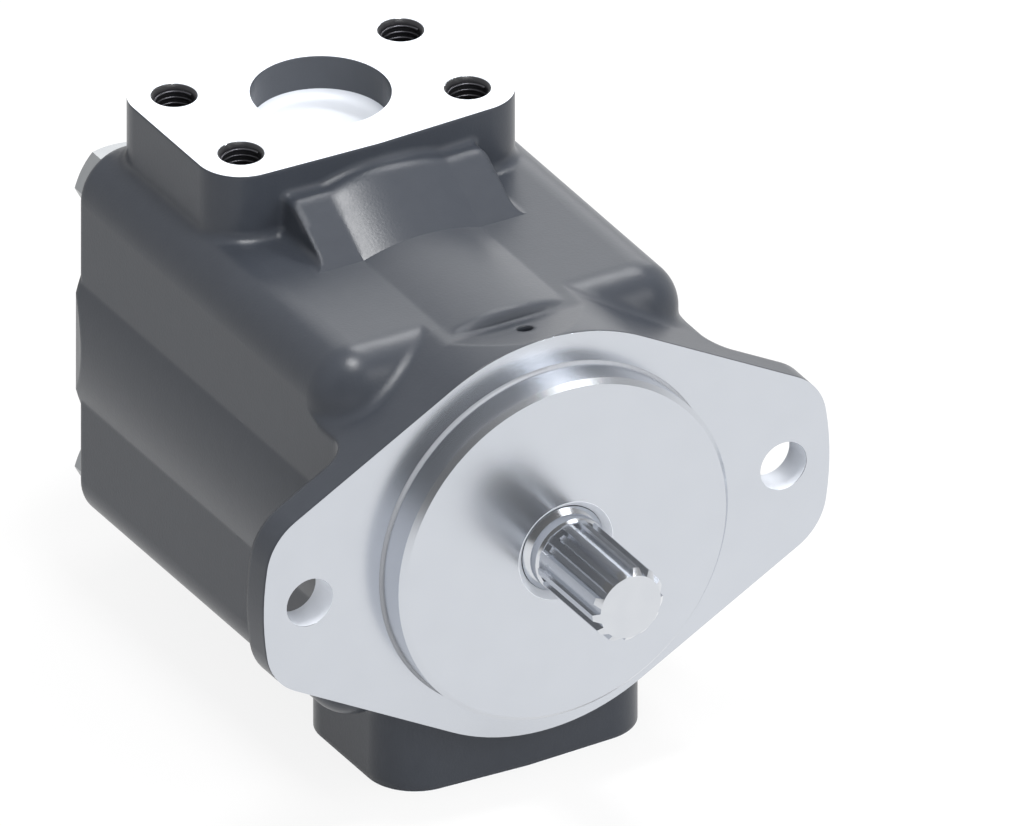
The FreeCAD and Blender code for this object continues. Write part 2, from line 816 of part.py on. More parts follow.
def rear_holes(body):
    """The suction port's shallow bore, the passage down from it, and the bolt holes."""
    bore = circles(
        body, "XY_Plane", "suction_bore_place", [("0", "suction_at")],
        "suction_bore_dia / 2", "suction_face",
    )
    feature(body, "Pocket", "suction_bore", bore, Length="suction_bore_depth")
    floor = value("suction_face - suction_bore_depth")
    dress(
        body, "Fillet", "suction_floor_edge", "suction_floor_round",
        lambda edge: lies_at(edge, "Z", floor),
    )
    reach, flat = "suction_passage_radius", "(suction_at - suction_passage_setback)"
    side, ahead = f"{reach} * sin(suction_passage_angle)", f"{reach} * cos(suction_passage_angle)"
    passage = outline(
        body,
        "XY_Plane",
        "passage_section",
        [
            (f"-{reach}", flat),
            (f"-{side}", f"{flat} - {ahead}", reach),
            (side, f"{flat} - {ahead}"),
            (reach, flat),
        ],
        "suction_face - suction_bore_depth",
    )
    feature(
        body, "Pocket", "suction_passage", passage,
        Length="suction_face - suction_bore_depth - chamber_radius",
    )
    bolts = circles(
        body, "XZ_Plane", "bolt_hole_places", four_places(BOLT_OFFSET, BOLT_OFFSET),
        "bolt_hole_dia / 2", "seam_at",
    )
    feature(body, "Pocket", "bolt_holes", bolts, Length="body_rear - seam_at")


def housing_bolts():
    """Four long hexagon bolts. One is modelled and mirrored to the other columns."""
    bolt = new_body("housing_bolt")
    hexagon = outline(bolt, "XZ_Plane", "head_section", hexagon_corners("bolt_head_flats"), "body_rear")
    feature(bolt, "Pad", "head", hexagon, Length="bolt_head_height", Reversed=True)
    crown, top = "(bolt_head_flats / 2 - bolt_crown_inset)", "(body_rear + bolt_head_height)"
    beyond = f"({crown} + bolt_head_height)"
    turned(
        bolt,
        "Groove",
        "head_chamfer",
        [
            (crown, top),
            (beyond, f"{top} - bolt_head_height * tan(bolt_crown_angle)"),
            (beyond, top),
        ],
    )
    shank = circles(bolt, "XZ_Plane", "shank_section", [("0", "0")], "bolt_dia / 2", "body_rear")
    feature(bolt, "Pad", "shank", shank, Length="body_rear - seam_at + bolt_engagement")
    tip = value("seam_at - bolt_engagement")
    dress(bolt, "Chamfer", "tip_chamfer", "port_chamfer", lambda edge: lies_at(edge, "Y", tip))
    for axis in ("x", "z"):
        bolt.setExpression(f"Placement.Base.{axis}", bind(BOLT_OFFSET))
    pair = mirrored_pair("bolt_pair", bolt, FreeCAD.Vector(1, 0, 0))
    return mirrored_pair("housing_bolts", pair, FreeCAD.Vector(0, 0, 1))


def hexagon_corners(flats, x="0", z="0"):
    """The six corners of a hexagon with two corners level with its centre."""
    return [
        (
            f"{x} + {flats} / sqrt(3) * cos({60 * turn})",
            f"{z} + {flats} / sqrt(3) * sin({60 * turn})",
        )
        for turn in range(6)
    ]


def mirrored_pair(name, source, normal):
    """A piece and its mirror image, kept as separate solids in one group."""
    image = document.addObject("Part::Mirroring", name + "_image")
    image.Source = source
    image.Normal = normal
    group = document.addObject("Part::Compound", name)
    group.Label = name
    group.Links = [source, image]
    document.recompute()
    return group


def shaft_seal():
    """The lip seal: a pressed case, a rubber lip inside it, and the garter spring."""
    front, outer, wall = "seal_front", "seal_radius", "seal_wall"
    rear = "(seal_front + seal_width)"
    lip = "(journal_radius + seal_lip_gap)"
    case = turned_body(
        "shaft_seal_case",
        [
            (outer, front),
            (outer, rear),
            (f"{outer} - {wall}", rear),
            (f"{outer} - {wall}", f"{front} + {wall}"),
            (f"{lip} + 3 * {wall}", f"{front} + {wall}"),
            (f"{lip} + 3 * {wall}", front),
        ],
    )
    rubber = turned_body(
        "shaft_seal_lip",
        [
            (f"{lip} + 3 * {wall}", front),
            (f"{lip} + 3 * {wall}", f"{front} + {wall}"),
            (f"{outer} - {wall}", f"{front} + {wall}"),
            (f"{outer} - {wall}", f"{front} + 2 * {wall}"),
            (f"{lip} + 2 * {wall}", f"{front} + 2 * {wall}"),
            (f"{lip} + 2 * {wall}", f"{rear} - {wall}"),
            (f"{lip} + {wall}", f"{rear} - {wall}"),
            (lip, f"{rear} - 2 * {wall}"),
            (f"{lip} + {wall}", f"{front} + 2 * {wall}"),
            (f"{lip} + {wall}", front),
        ],
    )
    spring = ring_of_cord(
        "seal_spring", f"{lip} + 3 * {wall}", f"{rear} - 2 * {wall}", f"{wall} - cord_gap"
    )
    return [case, rubber, spring]


def ring_of_cord(name, radius, at, cord_radius):
    """A ring of round cord about the shaft axis."""
    ring = document.addObject("Part::Torus", name)
    ring.Label = name
    ring.Placement = FreeCAD.Placement(
        FreeCAD.Vector(0, 0, 0), FreeCAD.Rotation(FreeCAD.Vector(1, 0, 0), -90)
    )
    ring.setExpression("Placement.Base.y", bind(at))
    ring.setExpression("Radius1", bind(radius))
    ring.setExpression("Radius2", bind(cord_radius))
    return ring


def bearing():
    """A deep-groove ball bearing: two grooved races, a cage and its balls."""
    front, rear = "bearing_front", BEARING_REAR
    middle = "(bearing_front + bearing_width / 2)"
    pitch = "((bearing_bore + bearing_outer) / 4)"
    track = "(ball_dia / 2 + ball_gap)"
    edge = "race_round"
    outer_land = "(bearing_outer / 2 - race_thickness)"
    inner_land = "(bearing_bore / 2 + race_thickness)"
    outer_half = f"sqrt({track}^2 - ({outer_land} - {pitch})^2)"
    inner_half = f"sqrt({track}^2 - ({pitch} - {inner_land})^2)"
    outer_race = turned_body(
        "bearing_outer_race",
        [
            (outer_land, front),
            (f"bearing_outer / 2 - {edge}", front),
            ("bearing_outer / 2", f"{front} + {edge}"),
            ("bearing_outer / 2", f"{rear} - {edge}"),
            (f"bearing_outer / 2 - {edge}", rear),
            (outer_land, rear),
            (outer_land, f"{middle} + {outer_half}", f"-{track}"),
            (outer_land, f"{middle} - {outer_half}"),
        ],
    )
    inner_race = turned_body(
        "bearing_inner_race",
        [
            (f"bearing_bore / 2 + {edge}", front),
            (inner_land, front),
            (inner_land, f"{middle} - {inner_half}", f"-{track}"),
            (inner_land, f"{middle} + {inner_half}"),
            (inner_land, rear),
            (f"bearing_bore / 2 + {edge}", rear),
            ("bearing_bore / 2", f"{rear} - {edge}"),
            ("bearing_bore / 2", f"{front} + {edge}"),
        ],
    )
    cage = turned_body(
        "bearing_cage",
        [
            (f"{pitch} - cage_thickness / 2", f"{middle} - cage_width / 2"),
            (f"{pitch} + cage_thickness / 2", f"{middle} - cage_width / 2"),
            (f"{pitch} + cage_thickness / 2", f"{middle} + cage_width / 2"),
            (f"{pitch} - cage_thickness / 2", f"{middle} + cage_width / 2"),
        ],
    )
    seat = circles(
        cage, "YZ_Plane", "ball_pocket_section", [(middle, "0")],
        "ball_dia / 2 + cage_pocket_gap",
    )
    pocket = feature(
        cage, "Pocket", "ball_pocket", seat, Length=f"{pitch} + cage_thickness", Reversed=True
    )
    around_shaft(cage, "ball_pockets", [pocket], "ball_count")
    return [outer_race, inner_race, cage, bearing_balls(pitch, middle)]


def bearing_balls(pitch, middle):
    balls = []
    for number in range(int(value("ball_count"))):
        ball = document.addObject("Part::Sphere", f"ball_{number + 1}")
        ball.setExpression("Radius", bind("ball_dia / 2"))
        ball.setExpression("Placement.Base.x", bind(f"{pitch} * cos({number} * 360 / ball_count)"))
        ball.setExpression("Placement.Base.y", bind(middle))
        ball.setExpression("Placement.Base.z", bind(f"-{pitch} * sin({number} * 360 / ball_count)"))
        balls.append(ball)
    group = document.addObject("Part::Compound", "bearing_balls")
    group.Label = "bearing_balls"
    group.Links = balls
    return group


def snap_ring(name, inner, outer, at, gap_side):
    """A flat open ring, slit on one side, that snaps into a groove."""
    body = new_body(name)
    section = new_sketch(body, "XZ_Plane", name + "_section", at)
    add_circle(section, "0", "0", outer)
    add_circle(section, "0", "0", inner)
    feature(body, "Pad", name + "_blank", section, Length="ring_thickness", Reversed=True)
    slit = outline(
        body,
        "XZ_Plane",
        name + "_slit",
        [
            ("-ring_opening / 2", "0"),
            ("ring_opening / 2", "0"),
            ("ring_opening / 2", f"{gap_side}(bearing_outer)"),
            ("-ring_opening / 2", f"{gap_side}(bearing_outer)"),
        ],
        at,
    )
    feature(body, "Pocket", name + "_opening", slit, Length="ring_thickness")
    return body


def retaining_rings():
    play = "(ring_groove_width - ring_thickness) / 2"
    at = f"{BEARING_REAR} + {play}"
    housing_ring = snap_ring(
        "bearing_retaining_ring",
        f"{HUB_BORE} + ring_groove_depth - ring_height",
        f"{HUB_BORE} + ring_groove_depth - cord_gap",
        at,
        "-",
    )
    shaft_ring = snap_ring(
        "shaft_retaining_ring",
        "journal_radius - ring_groove_depth / 2 + cord_gap",
        "journal_radius - ring_groove_depth / 2 + ring_height",
        at,
        "",
    )
    return [housing_ring, shaft_ring]


def kidney_pair(body, plane, name, inner, outer, middle_angle, half_angle, at):
    """Two opposite slots along an arc about the shaft."""
    sketch = new_sketch(body, plane, name, at)
    for turn in (0, 180):
        low = f"({middle_angle} + {turn} - {half_angle})"
        high = f"({middle_angle} + {turn} + {half_angle})"
        add_loop(
            sketch,
            [
                (f"{inner} * cos{low}", f"{inner} * sin{low}"),
                (f"{outer} * cos{low}", f"{outer} * sin{low}", outer),
                (f"{outer} * cos{high}", f"{outer} * sin{high}"),
                (f"{inner} * cos{high}", f"{inner} * sin{high}", f"-{inner}"),
            ],
        )
    return sketch


def cartridge_places(kind):
    """Two opposite places beside the cam's short axis, for the dowels or for the screws."""
    side = "+" if kind == "dowel" else "-"
    angle = f"(90 {side} cartridge_hole_angle)"
    x, z = f"cartridge_hole_circle * cos{angle}", f"cartridge_hole_circle * sin{angle}"
    return [(x, z), (f"-{x}", f"-{z}")]


def ring_groove(body, name, radius, at):
    """A square groove for a round-cord ring, in a turned outside face."""
    half = "(cord_dia / 2 + cord_gap)"
    floor = f"{radius} - 2 * {half}"
    turned(
        body,
        "Groove",
        name,
        [
            (floor, f"{at} - {half}"),
            (radius, f"{at} - {half}"),
            (radius, f"{at} + {half}"),
            (floor, f"{at} + {half}"),
        ],
    )


def front_port_plate():
    """The pressure plate: a spigot round the shaft, a disc, and the outlet kidneys."""
    rim, spigot = "(plate_radius - plate_gap)", f"({HUB_BORE} - plate_gap)"
    body = turned_body(
        "front_port_plate",
        [
            ("plate_bore_radius", "front_plate_front - spigot_length"),
            (spigot, "front_plate_front - spigot_length"),
            (spigot, "front_plate_front"),
            (rim, "front_plate_front"),
            (rim, PLATE_FACE),
            ("plate_bore_radius", PLATE_FACE),
        ],
    )
    ring_groove(body, "rim_groove", rim, "plate_ring_at")
    ring_groove(body, "spigot_groove", spigot, "spigot_ring_at")
    kidneys = kidney_pair(
        body, "XZ_Plane", "outlet_kidney_section", "kidney_inner_radius", "kidney_outer_radius",
        "outlet_angle", "kidney_half_angle", PLATE_FACE,
    )
    feature(
        body, "Pocket", "outlet_kidneys", kidneys, Length="front_plate_thickness", Reversed=True
    )
    turned(
        body,
        "Groove",
        "feed_groove",
        [
            ("feed_inner_radius", f"{PLATE_FACE} - feed_depth"),
            ("feed_outer_radius", f"{PLATE_FACE} - feed_depth"),
            ("feed_outer_radius", PLATE_FACE),
            ("feed_inner_radius", PLATE_FACE),
        ],
    )
    cartridge_holes(body, PLATE_FACE, True)
    return body


def cartridge_holes(body, face, forwards):
    """Blind holes for the dowels and the screws, from a plate's inner face."""
    for kind in ("dowel", "screw"):
        places = circles(
            body, "XZ_Plane", f"{kind}_places", cartridge_places(kind),
            f"{kind}_dia / 2 + hole_gap", face,
        )
        feature(
            body, "Pocket", f"{kind}_holes", places,
            Length=f"{kind}_bite + port_chamfer", Reversed=forwards,
        )


def rear_port_plate():
    """The side plate behind the rotor: inlet kidneys, the bush's seat and the screw heads' recesses."""
    bush_seat = "(tail_radius + bush_gap + bush_wall)"
    body = turned_body(
        "rear_port_plate",
        [
            (bush_seat, CAM_REAR),
            ("cam_outer_radius", CAM_REAR),
            ("cam_outer_radius", PEDESTAL_FACE),
            (bush_seat, PEDESTAL_FACE),
        ],
    )
    kidneys = kidney_pair(
        body, "XZ_Plane", "inlet_kidney_section", "kidney_inner_radius", "kidney_outer_radius",
        "inlet_angle", "kidney_half_angle", CAM_REAR,
    )
    feature(body, "Pocket", "inlet_kidneys", kidneys, Length="rear_plate_thickness")
    turned(
        body,
        "Groove",
        "feed_groove",
        [
            ("feed_inner_radius", CAM_REAR),
            ("feed_outer_radius", CAM_REAR),
            ("feed_outer_radius", f"{CAM_REAR} + feed_depth"),
            ("feed_inner_radius", f"{CAM_REAR} + feed_depth"),
        ],
    )
    dowels = circles(
        body, "XZ_Plane", "dowel_places", cartridge_places("dowel"), "dowel_dia / 2 + hole_gap",
        CAM_REAR,
    )
    feature(body, "Pocket", "dowel_holes", dowels, Length="dowel_bite + port_chamfer")
    screws = circles(
        body, "XZ_Plane", "screw_places", cartridge_places("screw"), "screw_dia / 2 + hole_gap",
        CAM_REAR,
    )
    feature(body, "Pocket", "screw_holes", screws, Length="rear_plate_thickness")
    heads = circles(
        body, "XZ_Plane", "head_places", cartridge_places("screw"),
        "screw_head_dia / 2 + hole_gap", f"{PEDESTAL_FACE} - screw_head_recess",
    )
    feature(body, "Pocket", "head_recesses", heads, Length="screw_head_recess")
    return body


def rear_bush():
    inner = "(tail_radius + bush_gap)"
    outer = f"({inner} + bush_wall)"
    return turned_body(
        "rear_bush",
        [(inner, CAM_REAR), (outer, CAM_REAR), (outer, PEDESTAL_FACE), (inner, PEDESTAL_FACE)],
    )


def cam_ring():
    """The two-lobed ring. Its bore follows a cosine, long axis along X, so it is made from a curve."""
    minor, stroke = value("cam_minor_radius"), value("cam_stroke")
    front, width = value(PLATE_FACE), value("cam_width")
    samples = 36
    points = []
    for step in range(samples):
        angle = 2 * math.pi * step / samples
        reach = minor + stroke * (1 + math.cos(2 * angle)) / 2
        points.append(FreeCAD.Vector(reach * math.cos(angle), front, reach * math.sin(angle)))
    curve = Part.BSplineCurve()
    curve.interpolate(Points=points, PeriodicFlag=True)
    along = FreeCAD.Vector(0, width, 0)
    bore = Part.Face(Part.Wire(curve.toShape())).extrude(along)
    start = FreeCAD.Vector(0, front, 0)
    axis = FreeCAD.Vector(0, 1, 0)
    shape = Part.makeCylinder(value("cam_outer_radius"), width, start, axis).cut(bore)
    for kind in ("dowel", "screw"):
        radius = value(f"{kind}_dia / 2 + hole_gap")
        for x, z in cartridge_places(kind):
            foot = FreeCAD.Vector(value(x), front, value(z))
            shape = shape.cut(Part.makeCylinder(radius, width, foot, axis))
    ring = document.addObject("Part::Feature", "cam_ring")
    ring.Label = "cam_ring"
    ring.Shape = shape
    ring.Placement = FreeCAD.Placement()
    return ring


def cartridge_dowels():
    dowel = new_body("cartridge_dowel")
    section = circles(
        dowel, "XZ_Plane", "dowel_section", cartridge_places("dowel")[:1], "dowel_dia / 2",
        f"{PLATE_FACE} - dowel_bite",
    )
    feature(
        dowel, "Pad", "dowel_pin", section, Length="cam_width + 2 * dowel_bite", Reversed=True
    )
    return half_turn_pair("cartridge_dowels", dowel)


def cartridge_screws():
    """Two socket screws, put in from behind the rear plate."""
    screw = new_body("cartridge_screw")
    seat = f"({PEDESTAL_FACE} - screw_head_recess)"
    place = cartridge_places("screw")[:1]
    head = circles(screw, "XZ_Plane", "head_section", place, "screw_head_dia / 2", seat)
    feature(screw, "Pad", "head", head, Length="screw_head_height", Reversed=True)
    shank = circles(screw, "XZ_Plane", "shank_section", place, "screw_dia / 2", seat)
    feature(screw, "Pad", "shank", shank, Length=f"{seat} - {PLATE_FACE} + screw_bite")
    x, z = place[0]
    socket = outline(
        screw, "XZ_Plane", "socket_section", hexagon_corners("screw_hex", x, z),
        f"{seat} + screw_head_height",
    )
    feature(
        screw, "Pocket", "socket", socket, Length="screw_head_height / 2", Reversed=True
    )
    return half_turn_pair("cartridge_screws", screw)


def half_turn_pair(name, source):
    """A piece and its copy on the other side of the shaft."""
    image = mirror_of(name + "_half", source, FreeCAD.Vector(1, 0, 0))
    turned_copy = mirror_of(name + "_turned", image, FreeCAD.Vector(0, 0, 1))
    group = document.addObject("Part::Compound", name)
    group.Label = name
    group.Links = [source, turned_copy]
    return group


def mirror_of(name, source, normal):
    image = document.addObject("Part::Mirroring", name)
    image.Source = source
    image.Normal = normal
    return image


def tooth_gap(root, major, root_width, crest_width, teeth, spread="0"):
    """Corners of the gap between two spline teeth, pointing to +Z of the section."""
    half_root = f"({root_width} / 2 + {spread})"
    half_mouth = f"({major} * sin(180 / {teeth}) - {crest_width} / 2 + {spread})"
    return [
        (f"-{half_root}", root),
        (half_root, root),
        (half_mouth, major),
        (half_mouth, f"{major} + cut_spare"),
        (f"-{half_mouth}", f"{major} + cut_spare"),
        (f"-{half_mouth}", major),
    ]


def drive_shaft():
    body = turned_body("drive_shaft", shaft_profile())
    gap = outline(
        body,
        "XZ_Plane",
        "spline_gap_section",
        tooth_gap(
            "spline_root_radius", "spline_major_radius", "spline_root_width",
            "spline_crest_width", "spline_teeth",
        ),
        "shaft_tip",
    )
    cut = feature(body, "Pocket", "spline_gap", gap, Length="spline_end - shaft_tip")
    around_shaft(body, "spline", [cut], "spline_teeth")
    drive = outline(
        body,
        "XZ_Plane",
        "drive_gap_section",
        tooth_gap(
            "drive_root_radius", "drive_major_radius", "drive_root_width", "drive_crest_width",
            "drive_teeth",
        ),
        f"{PLATE_FACE} + side_gap",
    )
    inner_cut = feature(body, "Pocket", "drive_gap", drive, Length="cam_width - side_gap")
    around_shaft(body, "rotor_drive", [inner_cut], "drive_teeth")
    return body


def shaft_profile():
    """The shaft from its splined tip to the journal in the rear bush."""
    seat = "bearing_bore / 2"
    groove = "(journal_radius - ring_groove_depth / 2)"
    return [
        ("0", "shaft_tip"),
        ("spline_major_radius - shaft_tip_chamfer", "shaft_tip"),
        ("spline_major_radius", "shaft_tip + shaft_tip_chamfer"),
        ("spline_major_radius", "spline_end"),
        ("neck_groove_radius", "spline_end"),
        ("neck_groove_radius", "neck_front - neck_radius + neck_groove_radius"),
        ("neck_radius", "neck_front"),
        ("neck_radius", "neck_rear"),
        ("journal_radius", "neck_rear + journal_radius - neck_radius"),
        ("journal_radius", "bearing_front - shoulder_width"),
        ("shoulder_radius", "bearing_front - shoulder_width"),
        ("shoulder_radius", "bearing_front"),
        (seat, "bearing_front"),
        (seat, BEARING_REAR),
        (groove, BEARING_REAR),
        (groove, f"{BEARING_REAR} + ring_groove_width"),
        (seat, f"{BEARING_REAR} + ring_groove_width"),
        (seat, "front_plate_front - spigot_length"),
        ("drive_major_radius", "front_plate_front - spigot_length + port_chamfer"),
        ("drive_major_radius", CAM_REAR),
        ("tail_radius", CAM_REAR),
        ("tail_radius", f"{TAIL_END} - port_chamfer"),
        ("tail_radius - port_chamfer", TAIL_END),
        ("0", TAIL_END),
    ]


def rotor():
    """The slotted rotor. Its bore carries the teeth that fit the shaft's inner spline."""
    body = new_body("rotor")
    length = "cam_width - 2 * side_gap"
    start = f"{PLATE_FACE} + side_gap"
    blank = new_sketch(body, "XZ_Plane", "rotor_section", start)
    add_circle(blank, "0", "0", "rotor_radius")
    add_circle(blank, "0", "0", "drive_root_radius + drive_gap")
    feature(body, "Pad", "rotor_blank", blank, Length=length, Reversed=True)
    half = "(vane_thickness / 2 + slot_gap)"
    slot = new_sketch(body, "XZ_Plane", "slot_section", start)
    add_loop(slot, radial_box(half, "slot_floor_radius", "rotor_radius + cut_spare"))
    first = feature(body, "Pocket", "vane_slot", slot, Length=length)
    hole = circles(
        body, "XZ_Plane", "slot_hole_section",
        [("slot_floor_radius * cos(vane_start_angle)", "slot_floor_radius * sin(vane_start_angle)")],
        "slot_hole_radius", start,
    )
    second = feature(body, "Pocket", "slot_hole", hole, Length=length)
    around_shaft(body, "vane_slots", [first, second], "vane_count")
    tooth = outline(
        body,
        "XZ_Plane",
        "bore_gap_section",
        bore_gap(),
        start,
    )
    cut = feature(body, "Pocket", "bore_gap", tooth, Length=length)
    around_shaft(body, "bore_spline", [cut], "drive_teeth")
    return body


def radial_box(half, low, high):
    """A box along the first vane's direction, from one radius to another."""
    turn = "vane_start_angle"
    corners = []
    for reach, side in ((low, "-"), (high, "-"), (high, "+"), (low, "+")):
        back = "+" if side == "-" else "-"
        corners.append(
            (
                f"({reach}) * cos({turn}) {back} {half} * sin({turn})",
                f"({reach}) * sin({turn}) {side} {half} * cos({turn})",
            )
        )
    return corners


def bore_gap():
    """The rotor's gap round one tooth of the shaft, wider than the tooth by the drive's clearance."""
    half_pitch = "(180 / drive_teeth)"
    mouth = f"(drive_major_radius * sin{half_pitch} - drive_crest_width / 2)"
    root = "(drive_root_radius - 2 * drive_gap)"
    ends = [("drive_root_width / 2", root), (mouth, "drive_major_radius")]
    flank = [
        (
            f"({reach} * sin{half_pitch} - {side} * cos{half_pitch} + 1.5 * drive_gap)",
            f"({reach} * cos{half_pitch} + {side} * sin{half_pitch})",
        )
        for side, reach in ends
    ]
    tooth = flank + [(f"-{side}", reach) for side, reach in flank[::-1]]
    return [
        (
            f"{side} * cos{half_pitch} + {reach} * sin{half_pitch}",
            f"{reach} * cos{half_pitch} - {side} * sin{half_pitch}",
        )
        for side, reach in tooth
    ]


def vanes():
    """Ten equal vanes, each turned about the shaft to its own slot."""
    made = []
    tip = "(cam_minor_radius - vane_tip_gap)"
    half, flat = "vane_thickness / 2", "vane_tip_flat / 2"
    for number in range(int(value("vane_count"))):
        body = new_body(f"vane_{number + 1:02d}")
        section = outline(
            body,
            "XZ_Plane",
            "vane_section",
            [
                (f"{tip} - vane_length", f"-{half}"),
                (f"{tip} - {half} + {flat}", f"-{half}"),
                (tip, f"-{flat}"),
                (tip, flat),
                (f"{tip} - {half} + {flat}", half),
                (f"{tip} - vane_length", half),
            ],
            f"{PLATE_FACE} + side_gap",
        )
        feature(body, "Pad", "vane", section, Length="cam_width - 2 * side_gap", Reversed=True)
        body.Placement = FreeCAD.Placement(
            FreeCAD.Vector(0, 0, 0), FreeCAD.Rotation(FreeCAD.Vector(0, -1, 0), 1)
        )
        body.setExpression(
            "Placement.Rotation.Angle", bind(f"vane_start_angle + {number} * 360 / vane_count")
        )
        made.append(body)
    return made


def seal_rings():
    half = "(cord_dia / 2 + cord_gap)"
    return [
        ring_of_cord("seam_o_ring", "seam_ring_radius", f"seam_at - {half}", "cord_dia / 2"),
        ring_of_cord(
            "plate_o_ring", f"plate_radius - plate_gap - {half}", "plate_ring_at", "cord_dia / 2"
        ),
        ring_of_cord(
            "spigot_o_ring", f"{HUB_BORE} - plate_gap - {half}", "spigot_ring_at", "cord_dia / 2"
        ),
    ]


def check_and_write(pieces):
    """Stop on any failed object, then write one file for each sub-part."""
    document.recompute()
    for item in document.Objects:
        if {"Invalid", "Error"} & set(item.State):
            raise RuntimeError(f"{item.Name} failed: {item.State}")
    os.makedirs("parts", exist_ok=True)
    for piece in pieces:
        shape = piece.Shape
        if shape.isNull() or not shape.isValid():
            raise RuntimeError(f"{piece.Label} has no valid shape")
        shape.exportStep(f"parts/{piece.Label}.step")
        print(piece.Label, len(shape.Solids), "solid(s)", round(shape.Volume), "mm3")


def main():
    pieces = [front_housing(), rear_housing(), housing_bolts(), drive_shaft(), rotor(), cam_ring()]
    pieces += [front_port_plate(), rear_port_plate(), rear_bush()]
    pieces += [cartridge_dowels(), cartridge_screws()]
    pieces += shaft_seal() + bearing() + retaining_rings() + seal_rings() + vanes()
    check_and_write(pieces)


main()
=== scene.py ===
# %% [markdown]
# # A hydraulic vane pump
#
# The pump is two grey painted iron castings bolted together round a vane cartridge. The front
# one has the two-eared mounting flange, the round pilot and the pressure port underneath. The
# rear one has the suction port on top. A splined shaft comes out of the front.
#
# The shapes come from the CAD model. This script loads them, finishes each surface, and adds
# the pieces that need more than a solid can say, such as threads and a coiled spring.
# Everything is in metres, the shaft lies on the Y axis, and -Y is the front.

import math

import bpy
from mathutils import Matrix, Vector


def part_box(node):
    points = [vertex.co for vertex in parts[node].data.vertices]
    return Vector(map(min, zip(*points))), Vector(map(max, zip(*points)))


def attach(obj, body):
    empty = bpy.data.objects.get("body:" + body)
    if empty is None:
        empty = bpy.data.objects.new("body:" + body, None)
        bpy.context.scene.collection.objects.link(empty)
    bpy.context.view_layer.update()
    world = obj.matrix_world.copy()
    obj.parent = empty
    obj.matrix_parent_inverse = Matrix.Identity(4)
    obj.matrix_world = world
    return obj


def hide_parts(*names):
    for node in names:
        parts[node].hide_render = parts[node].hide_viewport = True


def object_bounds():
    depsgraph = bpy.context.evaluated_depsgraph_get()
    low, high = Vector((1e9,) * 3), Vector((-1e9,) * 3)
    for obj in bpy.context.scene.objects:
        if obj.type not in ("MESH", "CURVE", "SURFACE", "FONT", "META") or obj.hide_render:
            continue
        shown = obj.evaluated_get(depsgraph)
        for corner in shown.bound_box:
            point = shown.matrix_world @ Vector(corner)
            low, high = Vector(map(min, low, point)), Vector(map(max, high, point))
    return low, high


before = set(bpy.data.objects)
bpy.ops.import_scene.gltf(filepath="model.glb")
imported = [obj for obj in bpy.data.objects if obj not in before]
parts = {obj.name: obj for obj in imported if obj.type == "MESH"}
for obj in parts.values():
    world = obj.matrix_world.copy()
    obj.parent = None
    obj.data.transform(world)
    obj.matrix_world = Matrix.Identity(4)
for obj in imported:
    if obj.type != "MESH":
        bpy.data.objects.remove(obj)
cad_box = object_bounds()

# %% [markdown]
# ## The camera
#
# In the photograph, edges that are parallel on the pump stay parallel, so it has no
# perspective, and an orthographic camera gives the same picture. It looks down by 30 degrees
# from the front left. Its width is the pump's scale in the photograph: the flange's two holes
# are 146 mm apart, which fixes how many millimetres one pixel is. The camera is placed so
# that the shaft's axis meets the picture where it does in the photograph.

# %% Place the camera
PICTURE = (1027, 826)
PIXELS_PER_METRE = 3745.0
SHAFT_PIXEL = (546.7, 534.2)
CAMERA_DISTANCE = 0.9

azimuth = math.radians(30)
elevation = math.radians(30)
right = Vector((math.cos(azimuth), -math.sin(azimuth), 0))
back = Vector(
    (
        -math.sin(azimuth) * math.cos(elevation),
        -math.cos(azimuth) * math.cos(elevation),
        math.sin(elevation),
    )
)
up = back.cross(right)

camera = bpy.data.objects.new("camera", bpy.data.cameras.new("camera"))
camera.data.type = "ORTHO"
camera.data.ortho_scale = PICTURE[0] / PIXELS_PER_METRE
camera.rotation_euler = back.to_track_quat("Z", "Y").to_euler()
aside = (PICTURE[0] / 2 - SHAFT_PIXEL[0]) / PIXELS_PER_METRE
above = (SHAFT_PIXEL[1] - PICTURE[1] / 2) / PIXELS_PER_METRE
camera.location = right * aside + up * above + back * CAMERA_DISTANCE
camera.data.clip_end = 10
bpy.context.scene.collection.objects.link(camera)
bpy.context.scene.camera = camera
print(f"camera: {camera.data.ortho_scale * 1000:.1f} mm wide")

# %% [markdown]
# ## Writing shader maths in Python
#
# A procedural finish is mostly arithmetic on positions: how far a point is from a bore's
# axis, or whether it lies on the milled face. Built by hand, that is a screenful of Math
# nodes. This small class wraps one number of a node tree, so that `1 - mask` or
# `(x * x + z * z) ** 0.5` in Python adds the Math nodes for it.


